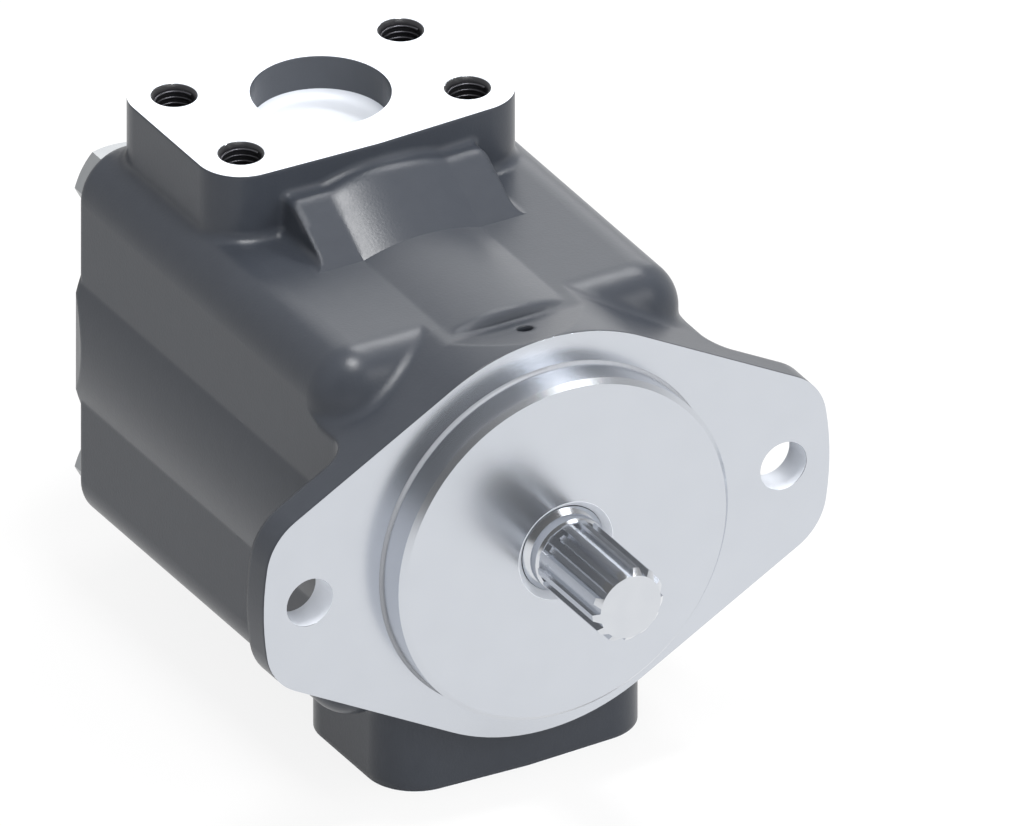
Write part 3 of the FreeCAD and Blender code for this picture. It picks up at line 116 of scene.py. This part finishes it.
# %% A number in a shader
class Number:
    """One number in a node tree. Arithmetic on it adds Math nodes."""

    def __init__(self, tree, socket):
        self.tree = tree
        self.socket = socket

    def maths(self, operation, *operands):
        node = self.tree.nodes.new("ShaderNodeMath")
        node.operation = operation
        for place, operand in enumerate(operands):
            if isinstance(operand, Number):
                self.tree.links.new(operand.socket, node.inputs[place])
            else:
                node.inputs[place].default_value = operand
        return Number(self.tree, node.outputs[0])

    def __add__(self, other):
        return self.maths("ADD", self, other)

    def __sub__(self, other):
        return self.maths("SUBTRACT", self, other)

    def __rsub__(self, other):
        return self.maths("SUBTRACT", other, self)

    def __mul__(self, other):
        return self.maths("MULTIPLY", self, other)

    def __truediv__(self, other):
        return self.maths("DIVIDE", self, other)

    def __pow__(self, other):
        return self.maths("POWER", self, other)

    def __abs__(self):
        return self.maths("ABSOLUTE", self)

    def __lt__(self, other):
        return self.maths("LESS_THAN", self, other)

    def __gt__(self, other):
        return self.maths("GREATER_THAN", self, other)

    __radd__ = __add__
    __rmul__ = __mul__

    def sine(self):
        return self.maths("SINE", self)

    def cosine(self):
        return self.maths("COSINE", self)

    def or_else(self, other):
        return self.maths("MAXIMUM", self, other)

    def clamped(self):
        return self.maths("MINIMUM", self.maths("MAXIMUM", self, 0.0), 1.0)


print("shader arithmetic is ready")

# %% [markdown]
# ## A finish
#
# Every material starts in the same way: a Principled shader, and the point's place on the
# object as three numbers. The `Finish` class holds them, and its `node` method adds any
# other node: settings first, because they decide which sockets the node has, then the
# values and links of its sockets.


# %% A finish in the making
class Finish:
    """A material with its shader and the place of the point, from Object coordinates."""

    def __init__(self, name):
        self.material = bpy.data.materials.new(name)
        self.material.use_nodes = True
        self.tree = self.material.node_tree
        self.tree.nodes.clear()
        self.shader = self.node("ShaderNodeBsdfPrincipled")
        self.node("ShaderNodeOutputMaterial", inputs={"Surface": self.shader.outputs[0]})
        self.place = self.node("ShaderNodeTexCoord").outputs["Object"]
        axes = self.node("ShaderNodeSeparateXYZ", inputs={"Vector": self.place})
        self.x, self.y, self.z = (Number(self.tree, axis) for axis in axes.outputs)

    def node(self, kind, settings=None, inputs=None):
        """Adds a node. Its settings come first, then the values or links of its sockets."""
        node = self.tree.nodes.new(kind)
        for name, setting in (settings or {}).items():
            setattr(node, name, setting)
        for name, value in (inputs or {}).items():
            self.feed(node.inputs[name], value)
        return node

    def feed(self, socket, value):
        """A socket takes another socket, a number of this tree or a plain value."""
        if isinstance(value, Number):
            value = value.socket
        if isinstance(value, bpy.types.NodeSocket):
            self.tree.links.new(value, socket)
        else:
            socket.default_value = value

    def wear(self, **looks):
        """Sets the shader's own sockets, such as base_color or roughness."""
        for name, value in looks.items():
            self.feed(self.shader.inputs[name.replace("_", " ").title()], value)

    def noise(self, grains_per_metre, detail=2.0, stretch=(1, 1, 1)):
        """Noise from 0 to 1 with grains of a real size, stretched along an axis if wanted."""
        mapping = self.node(
            "ShaderNodeMapping", inputs={"Vector": self.place, "Scale": stretch}
        )
        noise = self.node(
            "ShaderNodeTexNoise",
            inputs={"Vector": mapping.outputs[0], "Scale": grains_per_metre, "Detail": detail},
        )
        return Number(self.tree, noise.outputs["Fac"])

    def lines(self, along, per_metre):
        """Noise that changes along one number only, as a cutter's marks do."""
        noise = self.node(
            "ShaderNodeTexNoise",
            {"noise_dimensions": "1D"},
            {"W": along, "Scale": per_metre, "Detail": 2.0},
        )
        return Number(self.tree, noise.outputs["Fac"])

    def mix(self, mask, first, second):
        """A colour that goes from first to second as the mask goes from 0 to 1."""
        node = self.node("ShaderNodeMix", {"data_type": "RGBA"})
        factor, first_colour, second_colour = (node.inputs[place] for place in (0, 6, 7))
        self.feed(factor, mask)
        self.feed(first_colour, first)
        self.feed(second_colour, second)
        return node.outputs[2]

    def bump(self, height, distance, normal=None):
        """A normal tilted by a height from 0 to 1, where 1 is the distance in metres."""
        node = self.node("ShaderNodeBump", inputs={"Height": height, "Distance": distance})
        if normal is not None:
            self.feed(node.inputs["Normal"], normal)
        return node.outputs[0]

    def from_axis(self, across, along, centre=(0, 0)):
        """How far the point is from a line, from its two other coordinates."""
        a = across - centre[0]
        b = along - centre[1]
        return (a * a + b * b) ** 0.5


def put_on(finish, *names):
    """Gives CAD nodes a finish, through the material slots that they have."""
    for name in names:
        for slot in parts[name].material_slots:
            slot.material = finish.material
    print(f"{finish.material.name}: {', '.join(names)}")


# %% [markdown]
# ## Paint on a casting, and bare machined iron
#
# Each housing is one casting with two finishes. The foundry's skin is painted dark grey,
# with a soft gloss and the faint grain of the sand mould under it. Faces that seal or locate
# are machined after casting and stay bare: the flange's front, the pilot, the port faces,
# the bores and the holes.
#
# Two materials would need the mesh cut along each edge. One material with a mask does the
# same from coordinates alone: the mask is 1 where a point lies on a machined face, and it
# mixes colour, metal and roughness. The paint also gets a Bevel node, which bends the
# shading across an edge as far as a casting's corners are round. It is off at the seam,
# where the two castings meet in one smooth skin.
#
# Not all machined iron looks the same, so a casting also says where the cut was rough,
# which is duller, where oil and painted shade darken it, and where its corners are the softest.

# %% The two looks of a casting
PAINT = (0.029, 0.033, 0.0415, 1)
PAINT_THIN = (0.034, 0.0385, 0.0475, 1)
PAINT_GLOSS = 0.26
PAINT_ROUGHNESS = 0.278
PAINT_UNEVENNESS = 0.05
SAND_GRAIN = 0.00003

IRON = (0.61, 0.635, 0.68, 1)
IRON_DULL = (0.58, 0.605, 0.65, 1)
# Near black: cutting oil, and painted shade in the tapped holes and at the pilot's root.
OILED_AND_SHADED = (0.016, 0.016, 0.018, 1)
IRON_ROUGHNESS = 0.23
ROUGHER_WHEN_DULL = 0.3
METAL_LOST_WHEN_DULL = 0.8
CUTTER_MARK = 0.0000015

CORNER = 0.0017
SEAM = 0.0664


def casting(name, machined, cut_lines, rough_cut, oil_and_shade, softest):
    """Paint, and bare iron wherever machined(finish) gives 1, with the cutter's marks."""
    finish = Finish(name)
    dull_cut = rough_cut(finish)
    bare = machined(finish).clamped()
    skin = 1 - bare
    paint = finish.mix(finish.noise(240, 3.0), PAINT, PAINT_THIN)
    iron = finish.mix(finish.noise(90, 2.0), IRON, IRON_DULL)
    beside_seam = abs(finish.y - SEAM) > CORNER
    corner = skin * beside_seam * (1 + softest(finish)) * CORNER
    soft = finish.node("ShaderNodeBevel", {"samples": 6}, {"Radius": corner})
    sand = finish.bump(finish.noise(1300, 3.0) * skin, SAND_GRAIN, soft.outputs[0])
    cut = finish.lines(cut_lines(finish), 2600) * bare
    paint_roughness = PAINT_ROUGHNESS + PAINT_UNEVENNESS * finish.noise(500)
    iron_roughness = IRON_ROUGHNESS + 0.04 * cut + ROUGHER_WHEN_DULL * dull_cut
    finish.wear(
        # The colour goes near black for cutting oil and for painted shade.
        base_color=finish.mix(oil_and_shade(finish), finish.mix(bare, paint, iron), OILED_AND_SHADED),
        metallic=bare * (1 - METAL_LOST_WHEN_DULL * dull_cut),
        roughness=skin * paint_roughness + bare * iron_roughness,
        normal=finish.bump(cut, CUTTER_MARK, sand),
    )
    finish.shader.inputs["Specular IOR Level"].default_value = PAINT_GLOSS
    return finish


# %% [markdown]
# ## Where the castings are machined
#
# A mask is a list of places. Flat faces are found by one coordinate, and bores by the
# distance from their axis. Each limit lies a little way into the metal, so that rounding
# doesn't leave paint on the surface.

# %% Places on the castings
PORT_FACE = 0.0762
NEAR_PORT_FACE = PORT_FACE - 0.0001

PRESSURE_PORT = (0, 0.0381)
PRESSURE_BORE = 0.0128
PRESSURE_BOLTS = (0.0262, 0.0131)
PRESSURE_CHAMFER = 0.0056

SUCTION_PORT = (0, 0.12065)
SUCTION_BORE = 0.0192
SUCTION_BOLTS = (0.034925, 0.01785)
SUCTION_CHAMFER = 0.0067
SUCTION_FLOOR = (0.0638, 0.0662)

MOUNTING_HOLES = (0.073025, 0)
MOUNTING_BORE = 0.0073
HOUSING_BOLTS = (0.0429, 0.0429)
HOUSING_BOLT_BORE = 0.0067
PILOT_ROOT = 0.0512
PILOT_ROOT_DEPTH = -0.0009


def in_bolt_holes(f, port, bolts, radius):
    """1 in the four holes at the corners of a port."""
    return f.from_axis(abs(f.x), abs(f.y - port[1]), bolts) < radius


def at_pilot_root(f):
    """1 on the narrow ring where the pilot meets the flange."""
    return (f.y > PILOT_ROOT_DEPTH) * (abs(f.from_axis(f.x, f.z) - PILOT_ROOT) < 0.0005)


print(f"ports {PRESSURE_PORT[1] * 1000:.1f} and {SUCTION_PORT[1] * 1000:.1f} mm behind the flange")

# %% [markdown]
# ## The front casting
#
# Everything in front of the mounting face is machined, so a step on y does it. The port
# underneath, the holes in the two ears and the hollows round the shaft are the rest.


# %% Finish the front casting
def front_machined(f):
    face = f.y < 0.00003
    port_face = f.z < -NEAR_PORT_FACE
    inside = f.from_axis(f.x, f.z) < 0.0466
    ears = f.from_axis(abs(f.x), f.z, MOUNTING_HOLES) < MOUNTING_BORE
    port = (f.from_axis(f.x, f.y, PRESSURE_PORT) < PRESSURE_BORE) * (f.z < -0.04)
    return face.or_else(port_face).or_else(inside).or_else(ears).or_else(port)


def turned_marks(f):
    """Rings on the flat faces, and rings along the pilot's wall."""
    from_shaft = f.from_axis(f.x, f.z)
    on_wall = (f.y < -0.0008) * (from_shaft > 0.0493)
    return on_wall * f.y + (1 - on_wall) * from_shaft


def bored_rough(f):
    """The hollows inside, the shaft's chamfered hole and the pilot's root are less bright."""
    mouth = (f.y < -0.0083) * (f.from_axis(f.x, f.z) < 0.0146)
    return (f.y > 0.0002).or_else(at_pilot_root(f)).or_else(mouth)


def front_oil_and_shade(f):
    """The tapped holes: cutting oil and painted shade. The pilot's root: painted shade in its
    corner.
    """
    tapped = in_bolt_holes(f, PRESSURE_PORT, PRESSURE_BOLTS, PRESSURE_CHAMFER)
    root = (f.y < 0.0004) * at_pilot_root(f)
    return tapped * (f.z < -0.05) * (f.z > -NEAR_PORT_FACE) + 0.6 * root


def bulge_front(f):
    """The front end of the swelling on top."""
    return (f.y < 0.025) * (f.y > 0.016)


front_finish = casting(
    "front_casting", front_machined, turned_marks, bored_rough, front_oil_and_shade, bulge_front
)
put_on(front_finish, "front_housing")

# %% [markdown]
# ## The rear casting
#
# The suction port's face and the floor of its bore are milled. The bore's wall is as it was
# cast, with thin paint on it, so there the mask is close to 0. The bolt holes and the seats
# inside are machined too. The tapped holes are dark with cutting oil and painted shade.


# %% Finish the rear casting
def rear_machined(f):
    face = f.z > NEAR_PORT_FACE
    low, high = SUCTION_FLOOR
    in_bore = (f.from_axis(f.x, f.y, SUCTION_PORT) < SUCTION_BORE) * (f.z > low)
    bore = in_bore * (0.05 + 0.95 * (f.z < high))
    inside = (f.from_axis(f.x, f.z) < 0.0476) * (f.y < 0.1502)
    columns = f.from_axis(abs(f.x), abs(f.z), HOUSING_BOLTS) < HOUSING_BOLT_BORE
    return face.or_else(bore).or_else(inside).or_else(columns)


def milled_marks(f):
    """Wide arcs from a face mill on the port's face, and rings down the bores."""
    on_face = f.z > NEAR_PORT_FACE
    cutter_centre = (-0.21, 0.05)
    return on_face * f.from_axis(f.x, f.y, cutter_centre) + (1 - on_face) * f.z


def plunged_rough(f):
    """The floor of the port's bore is left by the end of the tool, so it is duller."""
    return f.z < SUCTION_FLOOR[1]


def rear_oil_and_shade(f):
    # The tapped holes and their chamfers: cutting oil and painted shade.
    tapped = in_bolt_holes(f, SUCTION_PORT, SUCTION_BOLTS, SUCTION_CHAMFER)
    return tapped * (f.z > 0.054) * (f.z < NEAR_PORT_FACE)


def pad_crest(f):
    """Where the sloped pad turns level."""
    return (f.y > 0.078) * (f.y < 0.0885) * (f.z > 0.058)


rear_finish = casting(
    "rear_casting", rear_machined, milled_marks, plunged_rough, rear_oil_and_shade, pad_crest
)
put_on(rear_finish, "rear_housing")

# %% [markdown]
# ## Turned, ground and plated steel
#
# The bare steel pieces differ in how they were finished. A turned or ground shaft has fine
# marks that run round it, which here are noise squeezed along the axis. Ground steel is the
# brightest, pressed and hardened steel are greyer, and a plated bolt is dull grey.


# %% Finishes for the steel pieces
def steel(name, colour, dull, roughness, squeeze=(1, 14, 1), marks=0.000004):
    """Bare metal with fine marks. squeeze packs the noise along the axis across the marks."""
    finish = Finish(name)
    finish.wear(
        base_color=finish.mix(finish.noise(160, 3.0), colour, dull),
        metallic=1.0,
        roughness=roughness + 0.08 * finish.noise(700, 2.0, squeeze),
        normal=finish.bump(finish.noise(900, 2.0, squeeze), marks),
    )
    return finish


shaft_steel = steel("ground_steel", (0.66, 0.68, 0.71, 1), (0.60, 0.62, 0.66, 1), 0.13)
bolt_steel = steel("plated_steel", (0.31, 0.32, 0.33, 1), (0.25, 0.26, 0.27, 1), 0.28)
hard_steel = steel("hardened_steel", (0.42, 0.43, 0.45, 1), (0.36, 0.37, 0.40, 1), 0.24)
race_steel = steel("bearing_steel", (0.60, 0.61, 0.63, 1), (0.55, 0.56, 0.58, 1), 0.14)
pressed = steel("pressed_steel", (0.50, 0.51, 0.52, 1), (0.44, 0.45, 0.46, 1), 0.34)
plate_iron = steel("plate_iron", (0.40, 0.41, 0.43, 1), (0.34, 0.35, 0.37, 1), 0.36, (1, 1, 1))
brass = steel("cage_brass", (0.72, 0.52, 0.22, 1), (0.62, 0.43, 0.17, 1), 0.30)
bronze = steel("bush_bronze", (0.62, 0.42, 0.25, 1), (0.54, 0.35, 0.20, 1), 0.34)

put_on(shaft_steel, "drive_shaft")
put_on(bolt_steel, "housing_bolts")
put_on(hard_steel, "cam_ring", "rotor", *(f"vane_{n:02d}" for n in range(1, 11)))
put_on(hard_steel, "cartridge_dowels", "cartridge_screws")
put_on(race_steel, "bearing_outer_race", "bearing_inner_race")
put_on(pressed, "shaft_seal_case", "bearing_retaining_ring", "shaft_retaining_ring")
put_on(plate_iron, "front_port_plate", "rear_port_plate")
put_on(brass, "bearing_cage")
put_on(bronze, "rear_bush")

# %% [markdown]
# ## Rubber
#
# The seal's lip and the three cord rings are black nitrile rubber: not quite black, dull,
# with a very fine skin.

# %% Finish the rubber pieces
BLACK = (0.012, 0.012, 0.013, 1)
WORN_BLACK = (0.02, 0.02, 0.021, 1)

rubber = Finish("seal_rubber")
rubber.wear(
    base_color=rubber.mix(rubber.noise(300, 3.0), BLACK, WORN_BLACK),
    roughness=0.52 + 0.1 * rubber.noise(900),
    normal=rubber.bump(rubber.noise(2500, 2.0), 0.00001),
)
put_on(rubber, "shaft_seal_lip", "plate_o_ring", "spigot_o_ring", "seam_o_ring")

# %% [markdown]
# ## The bearing's balls
#
# Nine equal balls on a circle are a rule, so Geometry Nodes make them: a circle of nine
# points, and one round ball on each. The tree's inputs are the circle's radius, the ball's
# radius and their place along the shaft. Instances are made real at the end, because a file
# for other programs can't hold them.


# %% Growing geometry from a tree
def new_tree(name, numbers):
    """An empty Geometry Nodes tree with one geometry output and named number inputs."""
    tree = bpy.data.node_groups.new(name, "GeometryNodeTree")
    for label, kind in numbers.items():
        tree.interface.new_socket(label, in_out="INPUT", socket_type=kind)
    tree.interface.new_socket("Geometry", in_out="OUTPUT", socket_type="NodeSocketGeometry")
    return tree


def grow(name, tree, values):
    """The plain mesh that a tree gives for these values."""
    seed = bpy.data.objects.new(name + "_seed", bpy.data.meshes.new(name + "_seed"))
    bpy.context.scene.collection.objects.link(seed)
    modifier = seed.modifiers.new("grow", "NODES")
    modifier.node_group = tree
    for socket in tree.interface.items_tree:
        if socket.in_out == "INPUT" and socket.name in values:
            modifier[socket.identifier] = values[socket.name]
    seed.update_tag()
    bpy.context.view_layer.update()
    grown = seed.evaluated_get(bpy.context.evaluated_depsgraph_get())
    mesh = bpy.data.meshes.new_from_object(grown)
    bpy.data.objects.remove(seed)
    piece = bpy.data.objects.new(name, mesh)
    bpy.context.scene.collection.objects.link(piece)
    print(f"{name}: {len(mesh.polygons)} faces")
    return piece


class Builder:
    """Adds nodes to a geometry tree and ends it with real geometry and a material."""

    def __init__(self, tree):
        self.tree = tree
        self.given = tree.nodes.new("NodeGroupInput").outputs

    def node(self, kind, settings=None, inputs=None):
        node = self.tree.nodes.new(kind)
        for name, setting in (settings or {}).items():
            setattr(node, name, setting)
        for name, value in (inputs or {}).items():
            if isinstance(value, bpy.types.NodeSocket):
                self.tree.links.new(value, node.inputs[name])
            else:
                node.inputs[name].default_value = value
        return node

    def finish(self, geometry, material):
        real = self.node("GeometryNodeRealizeInstances", inputs={"Geometry": geometry})
        dressed = self.node(
            "GeometryNodeSetMaterial",
            inputs={"Geometry": real.outputs[0], "Material": material},
        )
        end = self.tree.nodes.new("NodeGroupOutput")
        self.tree.links.new(dressed.outputs[0], end.inputs[0])


# %% Make the balls
BALL_COUNT = 9

low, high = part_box("bearing_balls")
ball_radius = (high.y - low.y) / 2
race_middle = (high.y + low.y) / 2
ball_circle = high.z - ball_radius

ball_tree = new_tree(
    "ring_of_balls",
    {"Circle": "NodeSocketFloat", "Ball": "NodeSocketFloat", "Along": "NodeSocketFloat"},
)
b = Builder(ball_tree)
circle = b.node(
    "GeometryNodeMeshCircle",
    {"fill_type": "NONE"},
    {"Vertices": BALL_COUNT, "Radius": b.given["Circle"]},
)
along = b.node("ShaderNodeCombineXYZ", inputs={"Y": b.given["Along"]})
stood = b.node(
    "GeometryNodeTransform",
    inputs={
        "Geometry": circle.outputs[0],
        "Translation": along.outputs[0],
        "Rotation": (math.radians(90), math.radians(-90), 0),
    },
)
ball = b.node(
    "GeometryNodeMeshUVSphere", inputs={"Segments": 32, "Rings": 16, "Radius": b.given["Ball"]}
)
round_ball = b.node("GeometryNodeSetShadeSmooth", inputs={"Geometry": ball.outputs[0]})
placed = b.node(
    "GeometryNodeInstanceOnPoints",
    inputs={"Points": stood.outputs[0], "Instance": round_ball.outputs[0]},
)
b.finish(placed.outputs[0], race_steel.material)

balls = grow(
    "round_balls", ball_tree, {"Circle": ball_circle, "Ball": ball_radius, "Along": race_middle}
)
print(f"balls of {ball_radius * 2000:.1f} mm on a circle of {ball_circle * 2000:.1f} mm")

# %% [markdown]
# ## The spring round the seal's lip
#
# A long thin coil, closed on itself, presses the lip on the shaft. A torus is enough for
# the solid, but the real one is a coil of fine wire. Its shape is one rule: go round the
# ring once, and round the coil once for each turn. A closed curve has as many points as
# the turns need, each point is moved to where the rule says from its index alone, and a
# small circle swept along the curve is the wire.

# %% Make the garter spring
POINTS_PER_TURN = 10
WIRE_RADIUS = 0.00022
TURN_SPACING = WIRE_RADIUS * 2.3


def garter_tree():
    tree = new_tree(
        "garter_spring",
        {
            "Ring": "NodeSocketFloat",
            "Coil": "NodeSocketFloat",
            "Wire": "NodeSocketFloat",
            "Along": "NodeSocketFloat",
            "Turns": "NodeSocketFloat",
        },
    )
    b = Builder(tree)
    count = Number(tree, b.given["Turns"]) * POINTS_PER_TURN
    ring = b.node(
        "GeometryNodeCurvePrimitiveCircle", {"mode": "RADIUS"}, {"Resolution": count.socket}
    )
    step = Number(tree, b.node("GeometryNodeInputIndex").outputs[0])
    turn = step * (2 * math.pi / POINTS_PER_TURN)
    round_ring = turn / Number(tree, b.given["Turns"])
    coil = Number(tree, b.given["Coil"])
    reach = Number(tree, b.given["Ring"]) + coil * turn.cosine()
    place = b.node(
        "ShaderNodeCombineXYZ",
        inputs={
            "X": (reach * round_ring.cosine()).socket,
            "Y": (Number(tree, b.given["Along"]) + coil * turn.sine()).socket,
            "Z": (reach * round_ring.sine()).socket,
        },
    )
    wound = b.node(
        "GeometryNodeSetPosition",
        inputs={"Geometry": ring.outputs[0], "Position": place.outputs[0]},
    )
    wire = b.node(
        "GeometryNodeCurvePrimitiveCircle",
        {"mode": "RADIUS"},
        {"Resolution": 6, "Radius": b.given["Wire"]},
    )
    swept = b.node(
        "GeometryNodeCurveToMesh",
        inputs={"Curve": wound.outputs[0], "Profile Curve": wire.outputs[0]},
    )
    b.finish(swept.outputs[0], shaft_steel.material)
    return tree


low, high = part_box("seal_spring")
coil_radius = (high.y - low.y) / 2 - WIRE_RADIUS
ring_radius = (high.x - low.x) / 2 - coil_radius - WIRE_RADIUS
turns = round(2 * math.pi * ring_radius / TURN_SPACING)
spring = grow(
    "garter_spring",
    garter_tree(),
    {
        "Ring": ring_radius,
        "Coil": coil_radius,
        "Wire": WIRE_RADIUS,
        "Along": (high.y + low.y) / 2,
        "Turns": float(turns),
    },
)
print(f"{turns} turns of wire round a ring of {ring_radius * 1000:.1f} mm")

# %% [markdown]
# ## Threads in the ports' bolt holes
#
# Each port is held by four screws, so its corner holes are tapped. In the CAD model they
# are plain bores with a chamfer. The thread itself is a ridge that climbs round the wall,
# one pitch for each turn. As with the spring, an index gives each point its place, and the
# finished ridge is put at the four corners of a grid as wide as the bolt pattern.


# %% Make the threads
POINTS_PER_PITCH = 36
CREST_PER_PITCH = 0.28


def thread_tree():
    tree = new_tree(
        "tapped_threads",
        {
            "Across": "NodeSocketFloat",
            "Along": "NodeSocketFloat",
            "Bore": "NodeSocketFloat",
            "Pitch": "NodeSocketFloat",
            "Depth": "NodeSocketFloat",
            "Centre": "NodeSocketVector",
        },
    )
    b = Builder(tree)
    pitch, bore = Number(tree, b.given["Pitch"]), Number(tree, b.given["Bore"])
    count = Number(tree, b.given["Depth"]) / pitch * POINTS_PER_PITCH
    row = b.node("GeometryNodeMeshLine", inputs={"Count": count.socket})
    line = b.node("GeometryNodeMeshToCurve", inputs={"Mesh": row.outputs[0]})
    step = Number(tree, b.node("GeometryNodeInputIndex").outputs[0])
    turn = step * (2 * math.pi / POINTS_PER_PITCH)
    place = b.node(
        "ShaderNodeCombineXYZ",
        inputs={
            "X": (bore * turn.cosine()).socket,
            "Y": (bore * turn.sine()).socket,
            "Z": (turn * pitch * (-0.5 / math.pi)).socket,
        },
    )
    climb = b.node(
        "GeometryNodeSetPosition",
        inputs={"Geometry": line.outputs[0], "Position": place.outputs[0]},
    )
    steady = b.node(
        "GeometryNodeSetCurveNormal", {"mode": "Z_UP"}, {"Curve": climb.outputs[0]}
    )
    crest = b.node(
        "GeometryNodeCurvePrimitiveCircle",
        {"mode": "RADIUS"},
        {"Resolution": 4, "Radius": (pitch * CREST_PER_PITCH).socket},
    )
    ridge = b.node(
        "GeometryNodeCurveToMesh",
        inputs={
            "Curve": steady.outputs[0],
            "Profile Curve": crest.outputs[0],
            "Fill Caps": True,
        },
    )
    corners = b.node(
        "GeometryNodeMeshGrid",
        inputs={
            "Size X": b.given["Across"],
            "Size Y": b.given["Along"],
            "Vertices X": 2,
            "Vertices Y": 2,
        },
    )
    placed = b.node(
        "GeometryNodeInstanceOnPoints",
        inputs={"Points": corners.outputs[0], "Instance": ridge.outputs[0]},
    )
    moved = b.node(
        "GeometryNodeTransform",
        inputs={"Geometry": placed.outputs[0], "Translation": b.given["Centre"]},
    )
    b.finish(moved.outputs[0], tapped_iron.material)
    return tree


tapped_iron = steel("tapped_iron", (0.10, 0.10, 0.11, 1), (0.07, 0.07, 0.08, 1), 0.34, (1, 1, 1))
threads = thread_tree()


def port_threads(name, port, bolts, bore, pitch, depth, top):
    """The threads in the four holes of one port, from their top down."""
    return grow(
        name,
        threads,
        {
            "Across": 2 * bolts[0],
            "Along": 2 * bolts[1],
            "Bore": bore,
            "Pitch": pitch,
            "Depth": depth,
            "Centre": (*port, top),
        },
    )


suction_threads = port_threads(
    "suction_threads", SUCTION_PORT, SUCTION_BOLTS, 0.0054, 0.00175, 0.019, 0.0745
)
pressure_threads = port_threads(
    "pressure_threads", PRESSURE_PORT, PRESSURE_BOLTS, 0.0044, 0.0015, 0.016, -0.0585
)

# %% [markdown]
# ## The floor and the light
#
# The photograph's background is white, and the bare metal mirrors white too. That comes from
# the floor and the world being white for the camera and for mirror rays only. The floor
# still takes a faint shadow: it is part lamp-lit white, part glow.
#
# Bare steel looks like steel only if it has something dark to mirror as well. In a studio
# that is the unlit room above and behind the camera, so the world darkens there for mirror
# rays. For the light that paint scatters, the world is dim, apart from a fill that comes
# from the front.
#
# Four soft boxes do the rest. The one behind the pump is what its upward faces mirror
# towards the camera. One overhead and one at the front right draw the round edges, and a
# narrow strip puts the thin bright line on a ridge. A box is given by how bright it looks,
# where 1 is white, and its power in watts follows from its size.


# %% Lay the floor
FLOOR_GLOW = 0.86
FLOOR_REACH = 3.0


def seen_or_mirrored(tree):
    """1 for rays from the camera, and for those that a mirror or glass sends on."""
    path = tree.nodes.new("ShaderNodeLightPath")
    camera_ray = Number(tree, path.outputs["Is Camera Ray"])
    mirror_ray = Number(tree, path.outputs["Is Glossy Ray"])
    through_ray = Number(tree, path.outputs["Is Transmission Ray"])
    return camera_ray.or_else(mirror_ray).or_else(through_ray)


def white_floor():
    material = bpy.data.materials.new("pale_floor")
    material.use_nodes = True
    tree = material.node_tree
    tree.nodes.clear()
    matt = tree.nodes.new("ShaderNodeBsdfDiffuse")
    matt.inputs["Color"].default_value = (0.8, 0.8, 0.8, 1)
    glow = tree.nodes.new("ShaderNodeEmission")
    mix = tree.nodes.new("ShaderNodeMixShader")
    output = tree.nodes.new("ShaderNodeOutputMaterial")
    share = seen_or_mirrored(tree) * FLOOR_GLOW
    tree.links.new(share.socket, mix.inputs[0])
    tree.links.new(matt.outputs[0], mix.inputs[1])
    tree.links.new(glow.outputs[0], mix.inputs[2])
    tree.links.new(mix.outputs[0], output.inputs["Surface"])
    return material


floor_mesh = bpy.data.meshes.new("floor")
lowest = cad_box[0][2]
corners = [
    (x * FLOOR_REACH, y * FLOOR_REACH, lowest) for x, y in ((-1, -1), (1, -1), (1, 1), (-1, 1))
]
floor_mesh.from_pydata(corners, [], [(0, 1, 2, 3)])
floor_mesh.materials.append(white_floor())
floor = bpy.data.objects.new("floor", floor_mesh)
bpy.context.scene.collection.objects.link(floor)
print(f"floor at {lowest * 1000:.1f} mm")

# %% Light the studio
SURROUND_LIGHT = 0.1
FRONT_FILL = 2.1
DARK_ROOM = 0.87
LAMP_DISTANCE = 0.9
PUMP_MIDDLE = Vector((0, 0.06, 0))

world = bpy.data.worlds.new("studio")
bpy.context.scene.world = world
world.use_nodes = True
sky = world.node_tree
surroundings = sky.nodes["Background"]
surroundings.inputs["Color"].default_value = (1, 1, 1, 1)
looking = sky.nodes.new("ShaderNodeSeparateXYZ")
sky.links.new(sky.nodes.new("ShaderNodeTexCoord").outputs["Generated"], looking.inputs[0])
forward = (Number(sky, looking.outputs["Y"]) * -2.0).clamped()
upward = (Number(sky, looking.outputs["Z"]) * 5.0).clamped()
for_lighting = SURROUND_LIGHT + FRONT_FILL * forward
for_mirrors = 1 - DARK_ROOM * forward * upward
mirrored = seen_or_mirrored(sky)
brightness = (1 - mirrored) * for_lighting + mirrored * for_mirrors
sky.links.new(brightness.socket, surroundings.inputs["Strength"])


def soft_box(name, towards, width, height, brightness):
    """A rectangular lamp in that direction from the pump, turned to face it."""
    lamp = bpy.data.lights.new(name, "AREA")
    lamp.shape = "RECTANGLE"
    lamp.size = width
    lamp.size_y = height
    lamp.energy = brightness * math.pi * width * height
    box = bpy.data.objects.new(name, lamp)
    direction = Vector(towards).normalized()
    box.location = direction * LAMP_DISTANCE + PUMP_MIDDLE
    box.rotation_euler = direction.to_track_quat("Z", "Y").to_euler()
    bpy.context.scene.collection.objects.link(box)


soft_box("rear_softbox", (0.433, 0.75, 0.5), 0.8, 0.7, 1.55)
soft_box("overhead_softbox", (-0.03, -0.18, 1.0), 0.2, 0.2, 50.0)
soft_box("strip_softbox", (0.43, 0.30, 0.86), 0.4, 0.09, 26.0)
soft_box("right_softbox", (0.45, -0.62, 0.62), 0.3, 0.3, 4.5)

bpy.context.scene.view_settings.view_transform = "Standard"
print("lit by four soft boxes and a white surrounding")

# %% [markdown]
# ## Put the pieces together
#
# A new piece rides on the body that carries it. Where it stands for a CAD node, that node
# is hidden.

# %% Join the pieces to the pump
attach(balls, "cage")
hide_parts("bearing_balls")
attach(spring, "root")
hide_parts("seal_spring")
for thread in (suction_threads, pressure_threads):
    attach(thread, "root")
